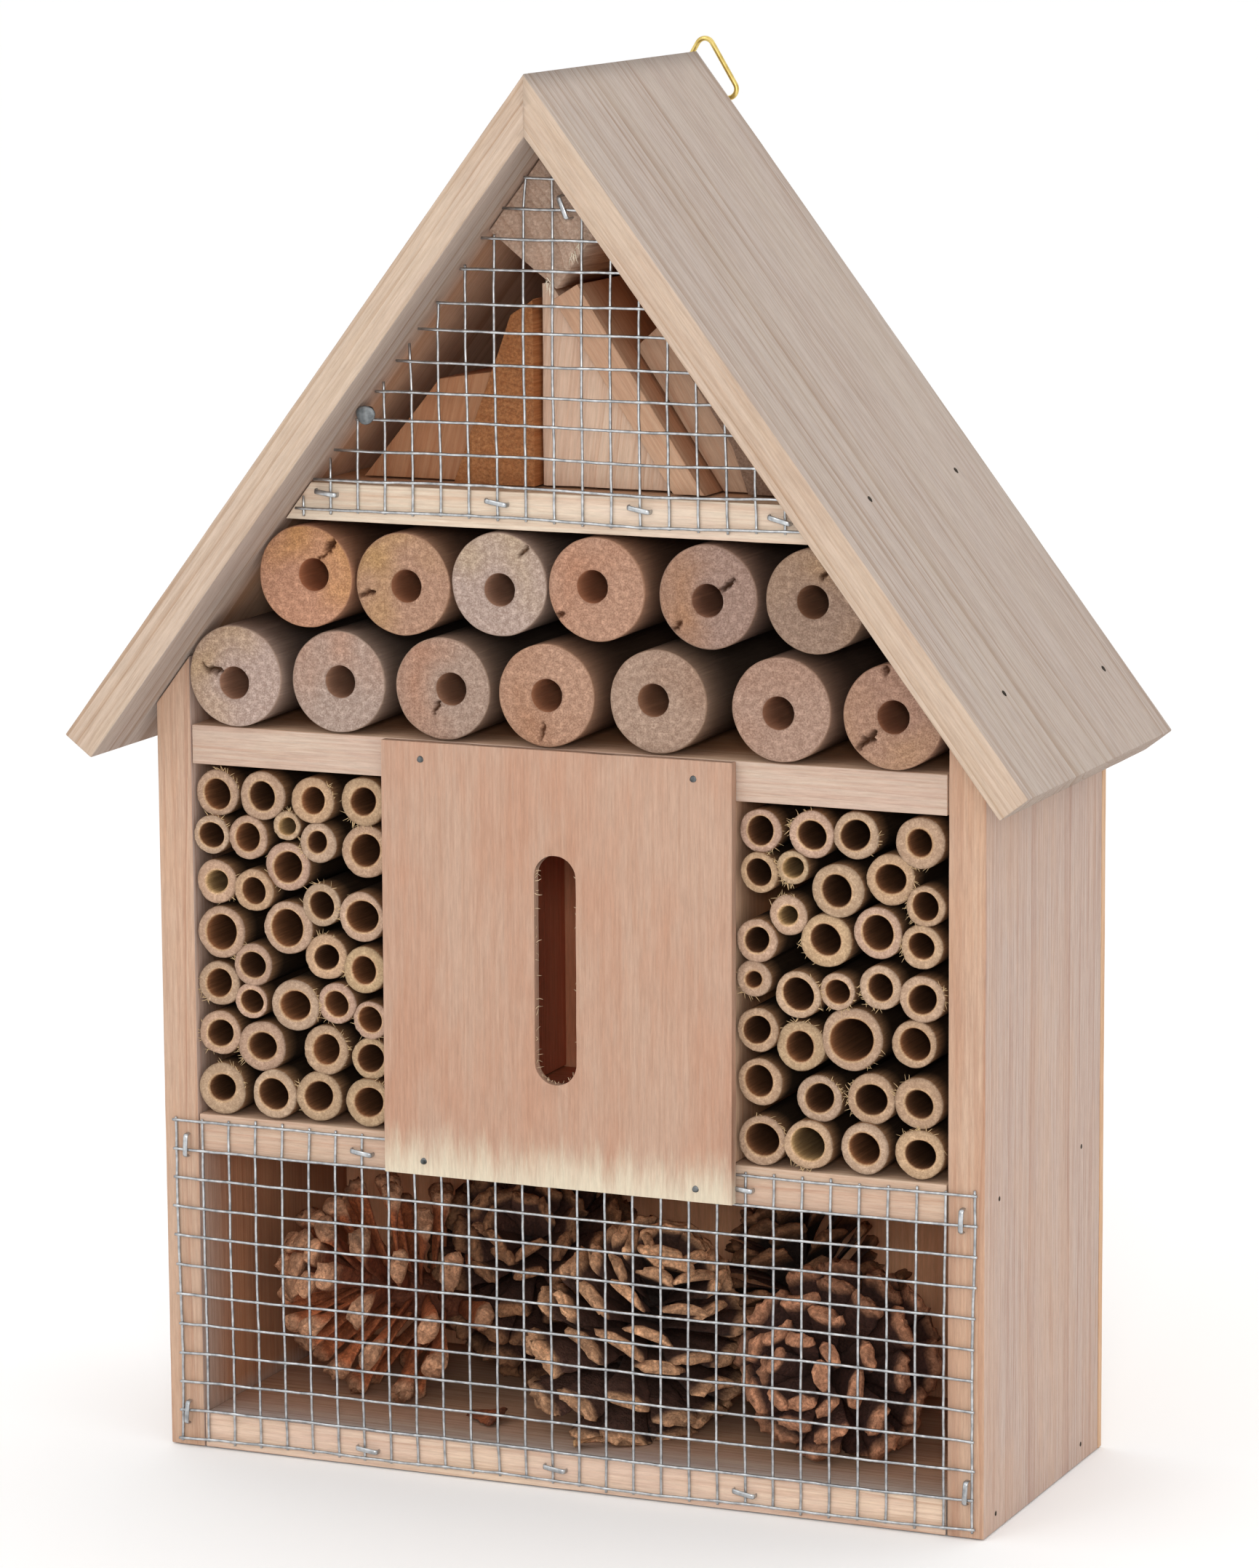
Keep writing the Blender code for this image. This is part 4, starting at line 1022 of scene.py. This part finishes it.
def cone_scale(builder, base, out, up, length, width, thick, bend, rng, tones, twist=0.0):
    """One woody scale from its root outwards: a blade that widens to a thick, blunt and rough end.

    tones are the colours of its inner side, its outer side and its end.
    """
    inner, outer, tip = tones
    side = np.cross(out, up)
    angles = np.arange(14) * tau / 14
    rings, tints = [], []
    seed = rng.uniform(0, 99)
    for s, w, h in SCALE_SECTIONS:
        centre = base + out * length * s + up * (-bend * length * s * s)
        turn = twist * s
        chipped = 1 + 0.22 * ripple(s * 5, seed, 1.5)
        end_share = min(1.0, max(0.0, (s - 0.66) / 0.16))
        ring, colours = [], []
        for a in angles:
            v = sin(a) * h * thick / 2
            share = end_share if v < 0 else min(1.0, max(0.0, (s - 0.85) / 0.08))
            u = copysign(abs(cos(a)) ** 0.7, cos(a)) * w * width / 2 * chipped
            rough = 1 + 0.26 * end_share * ripple(u * 0.8, s * 8, seed + v) + 0.05 * ripple(u, s, seed)
            cup = 0.12 * width * (1 - (2 * u / width) ** 2) * s
            if v < 0:
                v *= 1 + 0.3 * end_share * exp(-(4.5 * u / width) ** 2)
            jag = 0.09 * length * ripple(u * 0.55, seed * 1.7, 3.0) * max(0.0, s - 0.7) / 0.3
            x = u * cos(turn) - v * sin(turn)
            y = u * sin(turn) + v * cos(turn)
            ring.append(centre + side * x * rough + up * (y * rough + cup) + out * jag)
            speck = max(0.3, 0.85 + 0.6 * ripple(u * 1.1, s * 12, seed * 1.3 + v * 2))
            streak = 1 + 0.35 * ripple(u * 1.6, s * 1.5, seed)
            # the inner side darkens towards the root: painted shade where the scales overlap
            body = inner * (0.5 + 0.5 * min(1.0, s / 0.6)) if v > 0 else outer
            colours.append(body * streak * (1 - share) + tip * share * speck)
        rings.append(np.array(ring))
        tints.append(np.array(colours))
    builder.add_rings(rings, tint=np.vstack(tints))


def make_cone(number, place, axis, length, diameter, count, style, finish):
    """An open pine cone: scales set round a core in a golden-angle spiral. axis points at its tip."""
    rng = random.Random(100 + number)
    tones, wide, thickness, curve, (closed, opened) = style
    tones = [dye(*tone) for tone in tones]
    axis = unit(np.array(axis, float))
    side = unit(np.cross(axis, (0.0, 0.0, 1.0) if abs(axis[2]) < 0.9 else (1.0, 0.0, 0.0)))
    other = np.cross(axis, side)
    root = np.array(place, float) - axis * length * 0.40
    builder = Builder()
    core = []
    for t in np.linspace(0, 1, 9):
        radius = diameter * 0.10 * (1.05 - t) ** 0.5 + 0.4
        core.append(np.array([root + axis * length * 0.72 * t + (side * cos(a) + other * sin(a)) * radius
                              for a in np.arange(14) * tau / 14]))
    builder.add_rings(core, tint=tones[1] * 0.6)
    for k in range(count):
        t = (k + 0.5) / count
        angle = k * GOLDEN_TURN + number * 0.9 + rng.uniform(-0.08, 0.08)
        radial = side * cos(angle) + other * sin(angle)
        spread = radians(closed + (opened - closed) * t ** 1.25)
        spread += radians(rng.uniform(-6, 6))
        out = radial * sin(spread) + axis * cos(spread)
        up = axis * sin(spread) - radial * cos(spread)
        size = 0.5 + 0.5 * sin(pi * min(1.0, 0.16 + 0.86 * t) ** 0.9)
        stem = diameter * 0.08 * (1 - t)
        reach = (diameter / 2 - stem) * size * rng.uniform(0.93, 1.03)
        base = root + axis * length * (0.04 + 0.66 * t) + radial * stem
        width = wide * (0.55 + 0.45 * size) * rng.uniform(0.88, 1.1)
        thick = thickness * rng.uniform(0.85, 1.15)
        bend = curve * rng.uniform(0.6, 1.3)
        shade = rng.uniform(0.8, 1.15)
        varied = (tones[0] * shade, tones[1] * shade, tones[2] * rng.uniform(0.75, 1.15))
        cone_scale(builder, base, out, up, reach, width, thick, bend, rng, varied, rng.uniform(-0.12, 0.12))
    keep_in_chamber(builder)
    builder.make(f"pine_cone_{number}_scales", finish, (f"pine_cone_{number}",))


def keep_in_chamber(builder):
    """Scales that would pass through a wall are pressed flat against it, as they are in a full chamber."""
    for points in builder.points:
        np.clip(points[:, 0], -INNER_X + 0.4, INNER_X - 0.4, out=points[:, 0])
        np.clip(points[:, 1], FRONT + 0.8, BACK - 4.2, out=points[:, 1])
        np.clip(points[:, 2], FLOOR_TOP + 0.15, LOWER_SHELF[0] - 0.5, out=points[:, 2])


# Tones of a scale's inner side, outer side and end, its width, thickness and bend, and how far the scales spread
# at the foot and at the tip of the cone, in degrees
RED = (((190, 112, 72), (142, 84, 58), (202, 152, 118)), 10.6, 5.0, 0.04, (86, 16))
DARK = (((78, 50, 40), (50, 38, 33), (156, 112, 80)), 12.5, 2.8, 0.08, (98, 26))
PALE_TIPPED = (((86, 60, 50), (60, 46, 40), (226, 176, 136)), 14.5, 2.8, 0.08, (100, 20))
ROUND_TIPPED = (((70, 44, 36), (42, 33, 30), (192, 138, 106)), 11.5, 3.8, 0.02, (102, 32))
# Cones: middle, axis, length, diameter, number of scales and style
CONES = (
    ((-74, FRONT + 42, 42.0), (-0.70, -0.60, 0.34), 58, 72, 50, RED),
    ((-38, FRONT + 67, 47.0), (0.15, -0.80, 0.55), 62, 68, 66, DARK),
    ((9, FRONT + 36, 39.0), (0.42, -0.25, 0.86), 66, 66, 76, PALE_TIPPED),
    ((69, FRONT + 32, 35.0), (-0.05, -0.97, 0.12), 46, 60, 50, ROUND_TIPPED),
    ((47, FRONT + 70, 42.0), (-0.40, 0.05, 0.88), 70, 60, 70, DARK),
)


def make_cones():
    finish = toned("cone_wood", (0.28, 0.28), (1.1, 1.1), (0.6, 0.55, 0.52), (1.25, 1.22, 1.2), 0.68, 0.6, 0.3)
    for i, cone in enumerate(CONES):
        make_cone(i + 1, *cone, finish)
    rng = random.Random(77)
    loose = Builder()
    out = unit(np.array((0.93, -0.36, 0.05)))
    up = np.array((0.0, -0.35, 0.93))
    up = unit(up - out * up.dot(out))
    tones = [dye(*c) for c in ((150, 86, 54), (84, 50, 38), (120, 72, 50))]
    cone_scale(loose, np.array((-41.0, FRONT + 24.0, FLOOR_TOP + 1.4)), out, up, 13.0, 8.0, 2.2, -0.05, rng, tones)
    tones = [dye(*c) for c in ((168, 122, 84), (150, 108, 76), (206, 164, 120))]
    out, up = np.array((-0.93, -0.22, -0.28)), np.array((-0.28, 0.1, 0.95))
    cone_scale(loose, np.array((7.5, FRONT + 9.0, FLOOR_TOP + 3.6)), out, up, 8.5, 5.5, 1.8, 0.05, rng, tones)
    keep_in_chamber(loose)
    loose.make("pine_cone_loose_scale", finish)
    twig = Builder()
    tone = dye(64, 42, 36)
    stem = [(104, 70, 46), (105, 68, 55), (104.5, 66, 63), (103, 65, 70), (101, 64, 77)]
    stem = [(x, FRONT + depth, z) for x, depth, z in stem]
    sweep(twig, stem, 1.7, sides=9, tint=tone, scales=(1.4, 1.1, 0.95, 0.8, 0.55))
    for k, (dx, dz, bend) in enumerate(((-6, 4, 2.5), (6, 3, -2), (-5, -2, -2), (5, 6, 1), (7, -1, -3), (-3, 7, 1))):
        start = np.array((104.3, FRONT + 66.5, 62 + 1.5 * (k % 3)))
        path = [start + np.array((dx * t, -1.5 * t, dz * t + bend * t * t)) for t in np.linspace(0, 1, 6)]
        sweep(twig, path, 0.42, sides=6, tint=tone * 1.2, scales=(1.2, 1, 0.9, 0.75, 0.6, 0.3))
    twig.make("pine_cone_twig", finish)


# ---- hanger


def make_hanger(brass):
    low, high = box_mm("hanger_strap")
    middle_x = (low[0] + high[0]) / 2
    hinge_y, hinge_z = BACK + 4.2, 386.9
    half, height, corner = 23.5 / 2, 19.4, 2.6
    corners = [np.array(point) for point in ((-half, 0.0), (half, 0.0), (0.0, height))]
    path = []
    for i, point in enumerate(corners):
        before, after = unit(corners[i - 1] - point), unit(corners[(i + 1) % 3] - point)
        inside = acos(float(before.dot(after))) / 2
        centre = point + unit(before + after) * corner / sin(inside)
        arm = point + before * corner / tan(inside) - centre
        for step in range(13):
            a = (pi - 2 * inside) * step / 12
            x = centre[0] + arm[0] * cos(a) - arm[1] * sin(a)
            z = centre[1] + arm[0] * sin(a) + arm[1] * cos(a)
            path.append(np.array((middle_x + x, hinge_y, hinge_z + z)))
    dense = []
    for point, after in zip(path, path[1:] + path[:1]):
        steps = max(1, int(dist(point, after) / 2.0))
        dense += [point + (after - point) * k / steps for k in range(steps)]
    loop = Builder()
    sweep(loop, dense, 0.74, sides=16, across=(0, 1, 0), closed=True)
    loop.make("hanger_loop_wire", brass, ("hanger_loop",), body="loop")
    bm = cleaned("hanger_strap")
    ease_edges(bm, [e for e in bm.edges if len(e.link_faces) == 2 and e.calc_face_angle() > radians(50)], 0.18)
    plate = mesh_from(bm, "hanger_strap_plate")
    plate.shade_smooth()
    plate.set_sharp_from_angle(angle=radians(40))
    add_piece("hanger_strap_plate", plate, brass, ("hanger_strap",))
    for name, turn in (("hanger_screw_lower", 0.5), ("hanger_screw_upper", -0.3)):
        make_screw(name, turn, brass)


def make_screw(name, turn, brass):
    """A round-headed screw with a slot across its head."""
    low, high = box_mm(name)
    x, z = (low[0] + high[0]) / 2, (low[2] + high[2]) / 2
    tip, top = low[1], high[1]
    seat = top - 1.6
    profile = [(0.5, tip), (1.35, tip + 1.2), (1.35, seat), (2.65, seat), (2.62, seat + 0.45), (2.3, seat + 0.95),
               (1.7, seat + 1.35), (0.9, seat + 1.55)]
    angles = [tau * i / 32 for i in range(32)]
    bm = bmesh.new()
    rings = [[bm.verts.new(((x + radius * cos(a)) * MM, y * MM, (z + radius * sin(a)) * MM)) for a in angles]
             for radius, y in profile]
    for lower, upper in zip(rings, rings[1:]):
        for i in range(32):
            bm.faces.new((lower[i], lower[(i + 1) % 32], upper[(i + 1) % 32], upper[i]))
    bm.faces.new(rings[0])
    bm.faces.new(rings[-1])
    bmesh.ops.recalc_face_normals(bm, faces=bm.faces)
    blank = add_object("screw_blank", mesh_from(bm, "screw_blank"))
    bm = bmesh.new()
    bmesh.ops.create_cube(bm, size=1.0)
    bmesh.ops.scale(bm, vec=(7 * MM, 1.6 * MM, 0.75 * MM), verts=bm.verts)
    place = Matrix.Translation((x * MM, (top + 0.05) * MM, z * MM)) @ Matrix.Rotation(turn, 4, "Y")
    bmesh.ops.transform(bm, matrix=place, verts=bm.verts)
    cutter = add_object("slot_cutter", mesh_from(bm, "slot_cutter"))
    boolean = blank.modifiers.new("slot", "BOOLEAN")
    boolean.operation = "DIFFERENCE"
    boolean.object = cutter
    bpy.context.view_layer.update()
    head = bpy.data.meshes.new_from_object(blank.evaluated_get(bpy.context.evaluated_depsgraph_get()))
    for spare in (blank, cutter):
        bpy.data.objects.remove(spare, do_unlink=True)
    head.materials.clear()
    head.shade_smooth()
    head.set_sharp_from_angle(angle=radians(35))
    add_piece(name + "_head", head, brass, (name,))


def main():
    add_camera()
    add_studio()
    zinc = metal("zinc_wire", srgb(150, 153, 156), srgb(206, 209, 211), 0.28, srgb(118, 121, 125))
    steel = metal("dark_steel", srgb(92, 96, 98), srgb(140, 144, 146), 0.5)
    brass = metal("brass_plate", srgb(196, 170, 96), srgb(232, 208, 130), 0.24)
    make_boards()
    make_offcuts()
    make_logs()
    make_bamboo()
    make_lower_mesh(zinc)
    make_attic_mesh(zinc)
    make_staples(zinc)
    make_fasteners(steel)
    make_splinters()
    make_cones()
    make_hanger(brass)


main()
bpy.context.view_layer.update()
